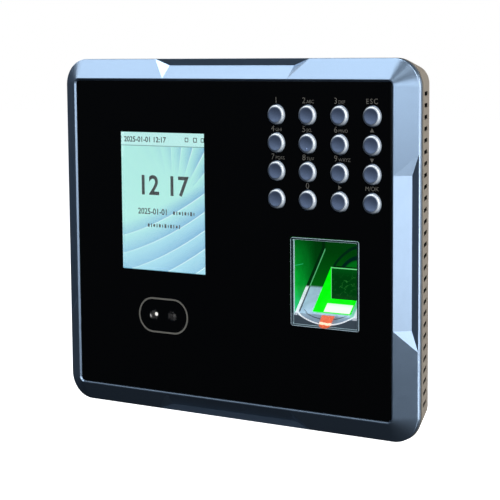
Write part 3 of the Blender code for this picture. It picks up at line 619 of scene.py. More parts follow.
def picture():
    """Display picture: a pale status bar over a fan of soft blue leaves."""
    s = Shader("display_picture").set(Roughness=0.15, Emission_Strength=1.0)
    s.set(Base_Color=(0.01, 0.012, 0.014, 1))
    x, _, z = s.axes()
    u = s.fit(x, PICTURE_X[0], PICTURE_X[1])
    v = s.fit(z, PICTURE_Z[0], PICTURE_Z[1], 0.0, PICTURE_SHAPE)
    aqua = srgb(172, 238, 228)
    pale = srgb(186, 240, 236)
    blue = srgb(98, 166, 212)
    # upper fan: leaves radiate from a point near the middle
    run = s.minus(u, 0.62)
    rise = s.minus(v, 0.60)
    angle = s.math("ARCTAN2", run, rise)
    reach = s.math("SQRT", s.plus(s.times(run, run), s.times(rise, rise)))
    leaf = s.math("FRACT", s.math("DIVIDE", s.plus(angle, 3.0), 0.21))
    upper = s.times(leaf, s.fit(reach, 0.22, 0.62, smooth=True))
    upper = s.times(upper, s.fit(angle, -0.75, 0.75, 0.05, 1.0, smooth=True))
    upper = s.times(upper, s.fit(angle, 1.05, 1.30, 1.0, 0.0, smooth=True))
    # lower leaves: broad bands that sweep up to the right
    bend = s.times(s.times(u, u), 0.18)
    slant = s.plus(s.times(u, 0.28), bend)
    fall = s.minus(s.plus(slant, 0.50), v)
    band = s.math("FRACT", s.math("DIVIDE", fall, 0.175))
    lower = s.times(s.math("POWER", band, 1.4), s.fit(fall, 0.0, 0.10, smooth=True))
    lower = s.times(lower, s.fit(u, 0.0, 0.9, 0.60, 1.0))
    lower = s.times(lower, s.fit(fall, 0.60, 1.05, 1.0, 0.45, smooth=True))
    base = s.mix(s.fit(fall, -0.05, 0.50, smooth=True), aqua, srgb(158, 220, 236))
    shaded = s.mix(s.times(s.most(upper, lower), 0.85), base, blue)
    brink = s.all(s.below(band, 0.055), s.fit(fall, 0.02, 0.16, smooth=True), s.fit(u, 0.0, 1.0, 0.35, 0.9))
    crease = s.all(s.below(leaf, 0.07), s.fit(reach, 0.30, 0.62, smooth=True),
                   s.fit(angle, -0.5, 0.7, smooth=True), s.fit(angle, 1.00, 1.15, 1.0, 0.0))
    shaded = s.mix(s.most(brink, crease), shaded, srgb(216, 246, 248))
    status_foot = PICTURE_SHAPE * 0.902
    bar = s.above(v, status_foot)
    line = s.near(v, status_foot, 0.004)
    final = s.mix(line, s.mix(bar, shaded, pale), srgb(110, 160, 160))
    final = s.mix(s.waver(5200, 1), s.dimmed(final, 0.97), final)
    s.link(final, "Emission Color")
    return s.material


def guide_plastic():
    """Translucent guide with painted light: painted green light fills the deep part, the foot is painted pale
    as lit by outside light below a painted shadow, thin painted highlight and shade lines follow its edges
    and grooves, and the rim and apron are slate.
    """
    s = Shader("guide_plastic").set(IOR=1.45, Emission_Strength=1.0)
    s.main.inputs["Specular IOR Level"].default_value = 0.06
    x, y, z = s.axes()
    depth = s.minus(y, CREST_Y)
    soft = s.noise(260, 3)
    # places
    wall = s.most(s.below(x, RECESS_X[0] + 0.00006), s.above(x, RECESS_X[1] - 0.00006))
    floor_part = s.minus(1.0, wall)
    rail = s.most(s.below(x, RAIL_LEFT), s.above(x, RAIL_RIGHT))
    # painted light: below LIT_TOP the floor is painted as lit by outside light
    pale = s.all(floor_part, s.fit(z, LIT_TOP - 0.0006, LIT_TOP + 0.0004, 1.0, 0.0, smooth=True))
    front = s.below(depth, APRON_DEPTH + 0.00008)
    groove = s.near(x, RAIL_LEFT, 0.00016)
    round_reach = s.distance(x, z, LEAD_IN_CENTRE)
    foot = s.all(s.below(z, -0.0240), s.below(depth, LEAD_IN_DEPTH + 0.0004),
                 s.above(x, RAIL_LEFT - 0.0004), s.below(x, RAIL_RIGHT + 0.0004))
    rim = s.frame_distance(x, z, WINDOW_CENTRE, WINDOW_SIZE, WINDOW_RADIUS)
    # colours
    # painted light: the rails and plate are lit copies of the slate plastic
    plate = s.mix(rail, (0.44, 0.60, 0.76, 1), (0.80, 0.82, 0.92, 1))
    plate = s.mix(s.fit(soft, 0.35, 0.65), s.dimmed(plate, 0.86), plate)
    # painted shade: a dark line in the groove beside the left rail
    plate = s.mix(groove, plate, (0.10, 0.12, 0.16, 1))
    # painted shade: a dark arc for the groove of the lead-in
    plate = s.mix(s.all(foot, s.near(round_reach, LEAD_IN_GROOVE, 0.00014)), plate, (0.09, 0.12, 0.15, 1))
    # painted shadow: above the lit foot the floor is painted nearly black
    body = s.mix(pale, (0.002, 0.020, 0.004, 1), plate)
    body = s.mix(front, body, s.mix(s.above(z, -0.0262), (0.095, 0.130, 0.165, 1), (0.020, 0.042, 0.048, 1)))
    # painted highlight: a white line along the lead-in's edge
    body = s.mix(s.all(foot, s.near(round_reach, LEAD_IN_EDGE, 0.00030)), body, (0.92, 0.96, 1.0, 1))
    # painted highlight: light lines along the window's front edge and the recess mouth
    edge = s.all(s.below(depth, GUIDE_FRONT + 0.0002), s.above(rim, -0.00048))
    body = s.mix(edge, body, (0.55, 0.66, 0.74, 1))
    mouth = s.all(s.near(s.frame_distance(x, z, MOUTH_CENTRE, MOUTH_SIZE, 0.0001), 0.0, 0.00009),
                  s.below(depth, 0.0019))
    body = s.mix(mouth, body, (0.40, 0.56, 0.58, 1))
    s.link(body, "Base Color")
    # painted green light: brightest low on the side wall, dim at the back
    shallow = s.fit(depth, 0.001, 0.017, 1.0, 0.10)
    low = s.fit(z, 0.003, -0.027, 0.16, 1.25)
    strength = s.all(shallow, low, s.fit(soft, 0.3, 0.7, 0.85, 1.15))
    painted_wall_light = s.mix(strength, (0.0, 0.020, 0.002, 1), s.mix(s.fit(z, -0.015, -0.028, smooth=True),
                                                            (0.0, 0.50, 0.040, 1), (0.008, 0.52, 0.20, 1)))
    # painted light: a brighter green line along the side wall
    seam = s.all(wall, s.near(z, WALL_SEAM, 0.00012), s.below(depth, 0.008))
    painted_wall_light = s.mix(seam, painted_wall_light, (0.02, 0.45, 0.16, 1))
    # painted light: green rings and darker bands on the floor around SWEEP_CENTRE, darker on the rails
    sweep = s.distance(x, z, SWEEP_CENTRE)
    painted_floor_light = s.mix(s.fit(z, -0.019, -0.004), (0.0, 0.105, 0.004, 1), (0.0, 0.042, 0.003, 1))
    painted_floor_light = s.mix(s.fit(sweep, 0.0040, 0.0050, 1.0, 0.0, smooth=True), painted_floor_light, (0.0, 0.13, 0.008, 1))
    painted_floor_light = s.mix(s.near(sweep, 0.0057, 0.0008), painted_floor_light, (0.0, 0.012, 0.010, 1))
    painted_floor_light = s.mix(s.near(sweep, 0.0098, 0.0006), painted_floor_light, (0.0, 0.016, 0.006, 1))
    painted_floor_light = s.mix(rail, painted_floor_light, (0.0, 0.018, 0.003, 1))
    # painted light: a bright green line beside the left rail
    floor_line = s.all(s.near(x, RAIL_LEFT + 0.00003, 0.00006), s.below(z, -0.0026))
    painted_floor_light = s.mix(floor_line, painted_floor_light, (0.08, 0.42, 0.16, 1))
    # painted light: faint glow of outside light on the lit foot, dark in the groove
    painted_outside_light = s.mix(rail, (0.17, 0.26, 0.34, 1), (0.46, 0.47, 0.56, 1))
    painted_outside_light = s.mix(s.fit(soft, 0.35, 0.65), s.dimmed(painted_outside_light, 0.8), painted_outside_light)
    glow = s.mix(wall, s.mix(pale, painted_floor_light, s.mix(groove, painted_outside_light, (0.01, 0.02, 0.02, 1))), painted_wall_light)
    # painted green light on the lit floor beside the prism
    beside = s.all(pale, s.above(x, prism_x[1] + GAP), s.below(x, RAIL_RIGHT))
    glow = s.mix(beside, glow, (0.004, 0.30, 0.050, 1))
    glow = s.mix(s.most(front, s.below(z, RECESS_FOOT)), glow, (0.0, 0.0, 0.0, 1))
    # the painted highlight lines also glow
    glow = s.mix(s.most(edge, mouth), glow, (0.15, 0.22, 0.25, 1))
    glow = s.mix(s.all(foot, s.near(round_reach, LEAD_IN_EDGE, 0.00016)), glow, (0.42, 0.48, 0.54, 1))
    s.link(glow, "Emission Color")
    s.link(s.waver(400, 2, 0.20, 0.30), "Roughness")
    s.bump(s.noise(1500, 2), 0.04, 0.00005)
    return s.material


def sensor_face():
    """Prism face: pure green light, a dark window with faint ridges and a white bar at the foot."""
    s = Shader("sensor_face").set(IOR=1.3, Emission_Strength=1.0, Base_Color=(0.0, 0.01, 0.002, 1))
    s.main.inputs["Specular IOR Level"].default_value = 0.05
    x, _, z = s.axes()
    top = prism_z[1]
    # the dark window's side leans back with the face, so it stands upright as the eye meets it
    side = s.minus(x, s.times(s.minus(top, z), WINDOW_LEAN))
    side = s.minus(side, prism_x[0] + 0.0002)
    lower = s.minus(z, DARK_FOOT)
    dark = s.all(s.above(side, 0.0), s.above(lower, 0.0))
    line_side = s.all(s.near(side, 0.0, 0.00011), s.above(lower, 0.0))
    line_top = s.all(s.near(z, top - 0.00035, 0.00018), s.above(side, 0.0))
    patch = s.fit(s.distance(x, z, PRINT_CENTRE), 0.0020, 0.0052, 1.0, 0.25, smooth=True)
    ridges = s.all(s.near(s.noise(300, 3, 0.6), 0.5, 0.011), patch)
    window = s.mix(s.times(ridges, 0.55), (0.0, 0.042, 0.004, 1), (0.03, 0.25, 0.04, 1))
    window = s.mix(s.fit(z, top - 0.004, top, smooth=True), window, (0.0, 0.07, 0.006, 1))
    light = s.mix(s.waver(420, 2), (0.0, 0.94, 0.0, 1), (0.003, 1.0, 0.006, 1))
    face = s.mix(dark, light, window)
    face = s.mix(s.most(line_side, line_top), face, (0.16, 0.72, 0.26, 1))
    bar_side = s.minus(x, s.times(s.minus(BAR_Z[1], z), -0.05))
    bar = s.all(s.above(z, BAR_Z[0]), s.below(z, BAR_Z[1]),
                s.above(bar_side, BAR_X[0]), s.below(bar_side, BAR_X[1]))
    fade = s.fit(z, BAR_Z[1] - 0.0012, BAR_Z[1], smooth=True)
    bar_colour = s.mix(fade, (0.93, 1.0, 0.95, 1), (0.72, 0.98, 0.78, 1))
    face = s.mix(bar, face, bar_colour)
    s.link(face, "Emission Color")
    s.link(s.waver(500, 3, 0.08, 0.16), "Roughness")
    return s.material


def steel(name="plated_steel", colour=(0.30, 0.31, 0.32, 1), roughness=0.42):
    """Plated sheet with drawn streaks."""
    s = Shader(name).set(Metallic=1.0)
    streaks = s.noise(900, 3, stretch=(1.0, 1.0, 0.05))
    s.link(s.mix(streaks, shade(colour, 0.82), shade(colour, 1.1)), "Base Color")
    s.link(s.waver(500, 2, roughness * 0.8, roughness * 1.25), "Roughness")
    s.bump(streaks, 0.06, 0.00004)
    return s.material


def cover_plastic():
    """Fine-textured taupe moulding; inside the vents, just under the skin, the surface is painted near-black
    as painted shade.
    """
    s = Shader("taupe_plastic").set(IOR=1.48)
    x, y, z = s.axes()
    depth = s.minus(y, CREST_Y)
    taper = (LIP_SIZE[0] - COVER_BACK_SIZE[0]) / 2 / (COVER_BACK - COVER_FRONT)
    skin = s.minus(LIP_SIZE[0] / 2, s.times(s.minus(depth, COVER_FRONT), taper))
    # painted shade: under the skin, within the vents' depth and height, the plastic is painted near-black
    under = s.below(s.math("ABSOLUTE", x), s.minus(skin, 0.00022))
    slots = s.all(under, s.above(depth, VENT_DEPTHS[0] - 0.0003), s.below(depth, VENT_DEPTHS[1] + 0.0003),
                  s.below(s.math("ABSOLUTE", z), VENT_TOP + 0.002))
    base = srgb(168, 157, 142)
    fine = s.noise(1900, 2)
    tone = s.mix(s.noise(45, 4), shade(base, 0.95), shade(base, 1.05))
    tone = s.mix(s.fit(fine, 0.3, 0.7), s.dimmed(tone, 0.93), tone)
    s.link(s.mix(slots, tone, (0.004, 0.004, 0.004, 1)), "Base Color")
    s.link(s.waver(220, 3, 0.46, 0.56), "Roughness")
    s.bump(fine, 0.35, 0.00005)
    return s.material


def circuit_board():
    """Solder resist over copper tracks and pads."""
    s = Shader("circuit_board").set(IOR=1.5)
    brick = s.tree.nodes.new("ShaderNodeTexBrick")
    brick.inputs["Scale"].default_value = 260
    brick.inputs["Mortar Size"].default_value = 0.03
    brick.inputs["Color1"].default_value = (0.010, 0.085, 0.030, 1)
    brick.inputs["Color2"].default_value = (0.014, 0.110, 0.040, 1)
    brick.inputs["Mortar"].default_value = (0.030, 0.180, 0.070, 1)
    turned = s.tree.nodes.new("ShaderNodeMapping")
    turned.inputs["Rotation"].default_value = (math.pi / 2, 0, 0)
    s.tree.links.new(s.place, turned.inputs["Vector"])
    s.tree.links.new(turned.outputs["Vector"], brick.inputs["Vector"])
    s.link(brick.outputs["Color"], "Base Color")
    s.link(s.waver(300, 3, 0.30, 0.45), "Roughness")
    s.bump(brick.outputs["Fac"], 0.2, 0.00005)
    return s.material


paint = bezel_paint()
gloss = panel_gloss()
taupe = cover_plastic()
cap_metal = key_metal()
steel_plate = steel()
screw_steel = steel("screw_steel", (0.38, 0.39, 0.40, 1), 0.30)
jack_steel = steel("jack_steel", (0.16, 0.165, 0.17, 1), 0.50)
black = grained("black_plastic", (0.012, 0.012, 0.013, 1), 0.45, grain=2200, bump=0.2)
chip = grained("chip_mould", (0.020, 0.020, 0.022, 1), 0.55, grain=2600, bump=0.3)
white = grained("white_plastic", (0.72, 0.73, 0.74, 1), 0.40, grain=1800, bump=0.1, vary=0.03)
green = grained("terminal_plastic", (0.03, 0.26, 0.10, 1), 0.38, grain=1800, bump=0.15)
silicone = grained("silicone", (0.16, 0.16, 0.17, 1), 0.65, grain=1500, bump=0.2)
polyimide = grained("ribbon_film", (0.42, 0.20, 0.04, 1), 0.30, grain=1200, bump=0.1)
board = circuit_board()
print_grey = grained("printed_legend", srgb(124, 120, 112), 0.45, grain=2500, bump=0.05, vary=0.10)
outline_ink = grained("printed_outline", srgb(168, 164, 154), 0.35, metallic=0.3, grain=2500, bump=0.05)
screen_ink = grained("screen_ink", (0.012, 0.030, 0.034, 1), 0.5, grain=2500, bump=0.0)

# ---- front bezel ---------------------------------------------------------------------------------


def add_side_dip(bm, half_length, crest_half, turn):
    """Wedge that recesses the middle of one side; its ends slope as triangular facets."""
    start = 0.00005
    back_off = 0.2
    reach = 1.5
    wall = (DIP_OUT + start, DIP_DEPTH)
    crest = (-start - back_off * wall[0], -back_off * wall[1])
    lip = (wall[0] + reach * (LIP_OUT - wall[0]), wall[1] + reach * (LIP_FRONT - 0.00006 - wall[1]))
    along = (half_length, half_length, half_length + reach * DIP_FACET)
    rings = []
    for side in (-1, 1):
        ring = []
        for (out, depth), run in zip((crest, wall, lip), along):
            point = Matrix.Rotation(turn, 4, "Y") @ Vector((side * run, 0, crest_half + out))
            ring.append(bm.verts.new((point.x, deep(depth), point.z)))
        rings.append(ring)
    left, right = rings
    bm.faces.new(left)
    bm.faces.new(right)
    for i in range(3):
        j = (i + 1) % 3
        bm.faces.new((left[i], left[j], right[j], right[i]))


def side_dips(bm):
    for turn in (0, math.pi):
        add_side_dip(bm, DIP_HALF_WIDE, CREST_SIZE[1] / 2, turn)
    for turn in (math.pi / 2, -math.pi / 2):
        add_side_dip(bm, DIP_HALF_TALL, CREST_SIZE[0] / 2, turn)


def add_window(bm, grow=0.0, depths=(-0.001, 0.010)):
    """Rounded outline of the finger window."""
    add_block(bm, spread(WINDOW_CENTRE[0], WINDOW_SIZE[0] + grow), depths,
              spread(WINDOW_CENTRE[1], WINDOW_SIZE[1] + grow), WINDOW_RADIUS)


key_centres = {name: (middle(name).x, middle(name).z) for name in KEYS}


def bezel_rings():
    """Rings of the bezel's outer skin: softened crest, slope, rounded lip edge and the lip's side."""
    slope = math.atan2(LIP_FRONT, (LIP_SIZE[0] - CREST_SIZE[0]) / 2)
    rings = [
        outline(CREST_SIZE[0] - CREST_ROUND, CREST_SIZE[1] - CREST_ROUND, CREST_RADIUS, 0.0),
        outline(CREST_SIZE[0], CREST_SIZE[1], CREST_RADIUS, CREST_ROUND / 5),
    ]
    turn = math.pi / 2 - slope
    start = LIP_FRONT + LIP_ROUND * math.tan(turn / 2)
    for step in range(LIP_STEPS + 1):
        angle = turn * (step / LIP_STEPS - 1)
        inset = LIP_ROUND * (1 - math.cos(angle))
        rings.append(outline(LIP_SIZE[0] - 2 * inset, LIP_SIZE[1] - 2 * inset, LIP_RADIUS - inset,
                             start + LIP_ROUND * math.sin(angle)))
    rings.append(outline(*LIP_SIZE, LIP_RADIUS, LIP_FRONT + LIP_BAND))
    back = [side - 2 * LIP_UNDERCUT for side in LIP_SIZE]
    rings.append(outline(*back, LIP_RADIUS - LIP_UNDERCUT, LIP_BACK))
    return rings


def make_bezel():
    bezel = solid("bezel_shell", lambda bm: add_loft(bm, bezel_rings()))
    carve(bezel, side_dips)
    pocket = (PANEL_SIZE[0] + 2 * GAP, PANEL_SIZE[1] + 2 * GAP)
    mouth = (CREST_SIZE[0] - 2 * CREST_FLAT, CREST_SIZE[1] - 2 * CREST_FLAT)
    flare = [m + (m - p) / 2 for m, p in zip(mouth, pocket)]
    carve(bezel, lambda bm: add_loft(bm, [
        outline(*flare, CREST_RADIUS, -PANEL_FRONT / 2),
        outline(*pocket, PANEL_RADIUS + GAP, PANEL_FRONT),
        outline(*pocket, PANEL_RADIUS + GAP, PLATE_FRONT),
    ]))
    carve(bezel, block(spread(0, CAVITY_SIZE[0]), (PLATE_BACK, 0.010), spread(0, CAVITY_SIZE[1]), 0.003))
    carve(bezel, rounds(key_centres.values(), KEY_HOLE_RADIUS, (0.0015, 0.0060)))
    carve(bezel, lambda bm: add_window(bm, 0.0014))
    carve(bezel, block(grown(lcd_x, GAP), THROUGH_PLATE, grown(lcd_z, GAP)))
    carve(bezel, block(
        spread(CAMERA_CENTRE[0], 0.0242), THROUGH_PLATE, spread(CAMERA_CENTRE[1], 0.0132), 0.0065))
    smooth(bezel, 14)
    dress(bezel, paint, stands_for=["front_bezel"])


# ---- front panel, legends and display ------------------------------------------------------------

def make_panel():
    panel = solid("panel_sheet", block(
        spread(0, PANEL_SIZE[0]), (PANEL_FRONT, PANEL_BACK), spread(0, PANEL_SIZE[1]), PANEL_RADIUS))
    round_edges(panel, 0.00012)
    carve(panel, rounds(key_centres.values(), KEY_HOLE_RADIUS, THROUGH_PANEL, sides=64))
    carve(panel, add_window)
    carve(panel, block(PICTURE_X, THROUGH_PANEL, PICTURE_Z, 0.0002, segments=2))
    lenses = [(CAMERA_CENTRE[0] + side * LENS_OUT, CAMERA_CENTRE[1]) for side in (-1, 1)]
    carve(panel, rounds(lenses, LENS_RADIUS, THROUGH_PANEL))
    smooth(panel)
    dress(panel, gloss, stands_for=["front_panel"])

    pane = solid("display_window", block(
        grown(PICTURE_X, -HAIR), (PANEL_FRONT, PANEL_BACK), grown(PICTURE_Z, -HAIR), 0.0002, segments=2))
    smooth(pane)
    dress(pane, clear_plastic("window_acrylic"))

    line = solid("camera_outline", block(
        spread(CAMERA_CENTRE[0], CAMERA_OUTLINE[0]), (PANEL_FRONT - HAIR, PANEL_FRONT + HAIR),
        spread(CAMERA_CENTRE[1], CAMERA_OUTLINE[1]), CAMERA_OUTLINE[1] / 2 - HAIR, segments=32))
    inner = [side - 2 * CAMERA_LINE for side in CAMERA_OUTLINE]
    carve(line, block(
        spread(CAMERA_CENTRE[0], inner[0]), THROUGH_PANEL, spread(CAMERA_CENTRE[1], inner[1]),
        CAMERA_OUTLINE[1] / 2 - CAMERA_LINE - HAIR, segments=32))
    smooth(line)
    dress(line, outline_ink)


def add_text(words, size, x, z, depth, align="CENTER", bold=0.0, space=1.0):
    """Flat lettering as a mesh, centred on (x, z), facing the front."""
    curve = bpy.data.curves.new("words", "FONT")
    curve.body = words
    curve.align_x = align
    curve.align_y = "CENTER"
    curve.extrude = HAIR / 2 / size
    curve.offset = bold / size
    curve.space_character = space
    curve.resolution_u = 4
    thing = placed("words", curve)
    graph = bpy.context.evaluated_depsgraph_get()
    graph.update()
    mesh = bpy.data.meshes.new_from_object(thing.evaluated_get(graph))
    bpy.data.objects.remove(thing, do_unlink=True)
    mesh.transform(Matrix.Translation((x, deep(depth), z)) @ Matrix.Rotation(math.pi / 2, 4, "X")
                   @ Matrix.Scale(size, 4))
    return mesh


def gather(name, meshes):
    """One piece from several meshes."""
    bm = bmesh.new()
    for mesh in meshes:
        bm.from_mesh(mesh)
        bpy.data.meshes.remove(mesh)
    joined = bpy.data.meshes.new(name)
    bm.to_mesh(joined)
    bm.free()
    return placed(name, joined)


def arrow_mesh(x, z, size, turn, depth):
    """Small printed triangle; turn 0 points up."""
    bm = bmesh.new()
    corners = []
    for k in range(3):
        angle = turn + math.pi / 2 + k * 2 * math.pi / 3
        corners.append(bm.verts.new((x + size * math.cos(angle), deep(depth), z + size * math.sin(angle))))
    face = bm.faces.new(corners)
    pushed = bmesh.ops.extrude_face_region(bm, geom=[face])["geom"]
    bmesh.ops.translate(bm, verts=[v for v in pushed if isinstance(v, bmesh.types.BMVert)], vec=(0, HAIR, 0))
    bmesh.ops.recalc_face_normals(bm, faces=bm.faces)
    mesh = bpy.data.meshes.new("arrow")
    bm.to_mesh(mesh)
    bm.free()
    return mesh


def make_legends():
    depth = PANEL_FRONT - HAIR / 2
    arrows = {"up": 0.0, "down": math.pi, "right": -math.pi / 2}
    meshes = []
    for name, legend in zip(KEYS, KEY_LEGENDS):
        x, z = key_centres[name]
        z += LEGEND_RISE
        if legend in arrows:
            meshes.append(arrow_mesh(x, z, 0.0010, arrows[legend], depth - HAIR / 2))
        elif " " in legend:
            digit, letters = legend.split(" ")
            meshes.append(add_text(digit, 0.0033, x - 0.0016, z, depth))
            meshes.append(add_text(letters, 0.0018, x - 0.0004, z - 0.0004, depth, "LEFT"))
        elif legend:
            size = 0.0033 if len(legend) == 1 else 0.0028 if len(legend) == 3 else 0.0024
            meshes.append(add_text(legend, size, x, z, depth, space=1.0 if len(legend) != 3 else 1.25))
    dress(gather("key_legends", meshes), print_grey)


def make_display():
    module = solid("display_module", block(lcd_x, lcd_depths, lcd_z))
    soften(module, 0.0002)
    dress(module, picture(), stands_for=["lcd_glass"])

    depth = lcd_depths[0] - HAIR
    width = PICTURE_X[1] - PICTURE_X[0]
    height = PICTURE_Z[1] - PICTURE_Z[0]

    def at(u, v):
        """Point of the picture, u from its left edge and v down from its top."""
        return PICTURE_X[0] + u * width, PICTURE_Z[1] - v * height
    meshes = [
        add_text("12", 0.0114, *at(0.310, 0.390), depth, "CENTER", 0.00020),
        add_text("17", 0.0114, *at(0.660, 0.390), depth, "CENTER", 0.00020),
        add_text("2025-01-01 12:17", 0.0031, *at(0.015, 0.055), depth, "LEFT", 0.00006),
        add_text("2025-01-01", 0.0034, *at(0.175, 0.575), depth, "LEFT", 0.00006),
    ]
    dress(gather("screen_digits", meshes), screen_ink)

    def bars(bm):
        for start, count, line in ((0.615, 8, 0.576), (0.305, 12, 0.674)):
            for index in range(count):
                x, z = at(start + 0.034 * index, line)
                tall = 0.00135 * (1.0 + 0.22 * math.sin(2.4 * index))
                wide = 0.00070 * (1.0 + 0.35 * math.cos(3.1 * index))
                add_block(bm, spread(x, wide), (depth - HAIR, depth), spread(z, tall), 0.0001, segments=2)
        for left, size in ((0.775, 0.0017), (0.875, 0.0018), (0.962, 0.0016)):
            x, z = at(left, 0.052)
            for arm in (-1, 1):
                add_block(bm, spread(x + arm * size * 0.42, size * 0.2), (depth - HAIR, depth),
                          spread(z + 0.0002, size * 1.1), 0.0001, segments=2)
                add_block(bm, spread(x, size * 0.6), (depth - HAIR, depth),
                          spread(z + 0.0002 + arm * size * 0.45, size * 0.2), 0.0001, segments=2)
    lines = solid("screen_marks", bars)
    dress(lines, screen_ink)


def make_camera_lenses():
    """Convex lens in a stepped barrel, behind each clear spot of the camera window, with a small glowing dome
    on its front as a painted glint.
    """
    # strength and size of each lens's painted glint
    for name, strength, spot in (("camera_lens_left", 3.0, 0.0008), ("camera_lens_right", 0.05, 0.0007)):
        centre = (middle(name).x, middle(name).z)
        x, (front, back), _ = ranges(name)
        radius = (x[1] - x[0]) / 2
        dome = [(LENS_RADIUS * math.sin(a), front + 0.0013 - 0.0009 * math.cos(a))
                for a in [math.pi / 2 * i / 10 for i in range(11)]]
        profile = dome + [
            (LENS_RADIUS, front + 0.0016), (0.0023, front + 0.0003), (0.0026, front),
            (radius, front + 0.0002), (radius, back), (0.0, back)]
        lens = solid(f"{name}_barrel", lambda bm: add_turned(bm, profile, centre))
        smooth(lens)
        tone = Shader(f"{name}_glass").set(IOR=1.6, Roughness=0.05, Coat_Weight=1.0)
        tone.link(tone.mix(tone.noise(600), (0.012, 0.012, 0.014, 1), (0.02, 0.02, 0.024, 1)), "Base Color")
        dress(lens, tone.material, stands_for=[name])
        # painted glint: a small glowing dome on the lens front, off its centre
        glint = solid(f"{name}_spot", lambda bm: add_turned(
            bm, [(0.0, front + 0.0001), (spot * 0.7, front + 0.00015), (spot, front + 0.0003),
                 (0.0, front + 0.00035)],
            (centre[0] - 0.0002, centre[1] + 0.0001), 32))
        smooth(glint)
        dress(glint, glow(f"{name}_light", (0.95, 0.95, 0.92, 1), strength, scale=900))
        pane = solid(f"{name}_pane", lambda bm: add_round(
            bm, centre, LENS_RADIUS - HAIR, (PANEL_FRONT, PANEL_BACK)))
        smooth(pane)
        dress(pane, clear_plastic(f"{name}_tint", (0.35, 0.34, 0.34, 1)))


# ---- keys ----------------------------------------------------------------------------------------

def make_keys():
    """Caps with a dished face, a rounded shoulder, a straight side and a flange under the plate."""
    top = PANEL_FRONT - 0.0010
    dish = 0.00042
    face = [(KEY_FACE_RADIUS * 0.93 * i / 8, top + dish * (1 - (i / 8) ** 2)) for i in range(9)]
    shoulder_x = KEY_RADIUS - KEY_FACE_RADIUS * 0.98
    shoulder = [
        (KEY_FACE_RADIUS * 0.98 + shoulder_x * math.sin(a), top + 0.00008 + 0.00062 * (1 - math.cos(a)))
        for a in [math.pi / 2 * i / 8 for i in range(9)]]
    flange_front, flange_back = 0.0045, 0.0053
    profile = face + shoulder + [
        (KEY_RADIUS, flange_front - 0.0001), (KEY_RADIUS + 0.0001, flange_front),
        (KEY_FLANGE_RADIUS - 0.0001, flange_front),
        (KEY_FLANGE_RADIUS, flange_front + 0.0001), (KEY_FLANGE_RADIUS, flange_back), (0.0, flange_back)]
    for name in KEYS:
        centre = key_centres[name]
        key = solid(f"{name}_shell", lambda bm: add_turned(bm, profile, centre, 72))
        if name == "key_5":
            def nub(bm):
                add_turned(bm, [(0.0, top + 0.00001), (0.0002, top + 0.00004), (0.00036, top + 0.00014),
                                (0.00042, top + 0.0004), (0.0, top + 0.0005)],
                           (centre[0], centre[1] - 0.0020), 24)
            carve(key, nub, "UNION")
        smooth(key, 60)
        dress(key, cap_metal, body=f"{name}_cap", stands_for=[name])


def make_key_mat():
    """Silicone sheet under the keys, and one dome for each key."""
    mat_x, _, mat_z = ranges("key_mat")
    sheet = solid("key_mat_sheet", block(mat_x, MAT_DEPTHS, mat_z, 0.002))
    round_edges(sheet, 0.00015, segments=2)
    columns, rows = (sorted({round(centre[axis], 5) for centre in key_centres.values()}) for axis in (0, 1))
    bosses = [((columns[i] + columns[i + 1]) / 2, (rows[j] + rows[j + 1]) / 2)
              for i in (0, 2) for j in (0, 2)]
    carve(sheet, rounds(bosses, 0.0026, (0.006, 0.010)))
    smooth(sheet)
    dress(sheet, silicone, stands_for=["key_mat"])
    front, base = DOME_DEPTHS
    top, foot = DOME_RADII
    profile = [(0.0, front), (top - 0.0003, front), (top - 0.0001, front + 0.00005), (top, front + 0.00025),
               (top + 0.0002, front + 0.0007), (foot - 0.0004, base - 0.0003), (foot, base - 0.0001),
               (foot, base), (0.0, base)]
    for name in KEYS:
        centre = key_centres[name]
        dome = solid(f"{name}_dome", lambda bm: add_turned(bm, profile, centre, 40))
        smooth(dome, 60)
        bake(dome)
        dress(dome, silicone)
        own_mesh(dome)


def make_tamper_spring():
    """Wire coil around the tamper plunger."""
    plunger = middle("tamper_plunger")
    steps = 24 * SPRING_TURNS
    start, end = SPRING_DEPTHS
    rings = []
    for index in range(steps + 1):
        angle = 2 * math.pi * SPRING_TURNS * index / steps
        outward = Vector((math.cos(angle), 0, math.sin(angle)))
        depth = start + (end - start) * index / steps
        core = Vector((plunger.x, deep(depth), plunger.z)) + SPRING_RADIUS * outward
        rings.append([
            core + SPRING_WIRE * (math.cos(2 * math.pi * k / 8) * outward
                                  + math.sin(2 * math.pi * k / 8) * Vector((0, 1, 0)))
            for k in range(8)])
    coil = solid("tamper_spring_coil", lambda bm: add_loft(bm, rings))
    smooth(coil, 60)
    bake(coil)
    dress(coil, screw_steel, stands_for=["tamper_spring"])
    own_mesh(coil)


# ---- finger sensor -------------------------------------------------------------------------------

def ramp_height(depth):
    return RAMP_FOOT[0] + (depth - RAMP_FOOT[1]) / RAMP_SLOPE


def ramp_profile(lower, top, back, front=-0.002):
    """Outline of the space in front of the sloped floor, which is set back by lower."""
    return [(top, front), (top, back), (ramp_height(back - lower), back), (ramp_height(front - lower), front)]


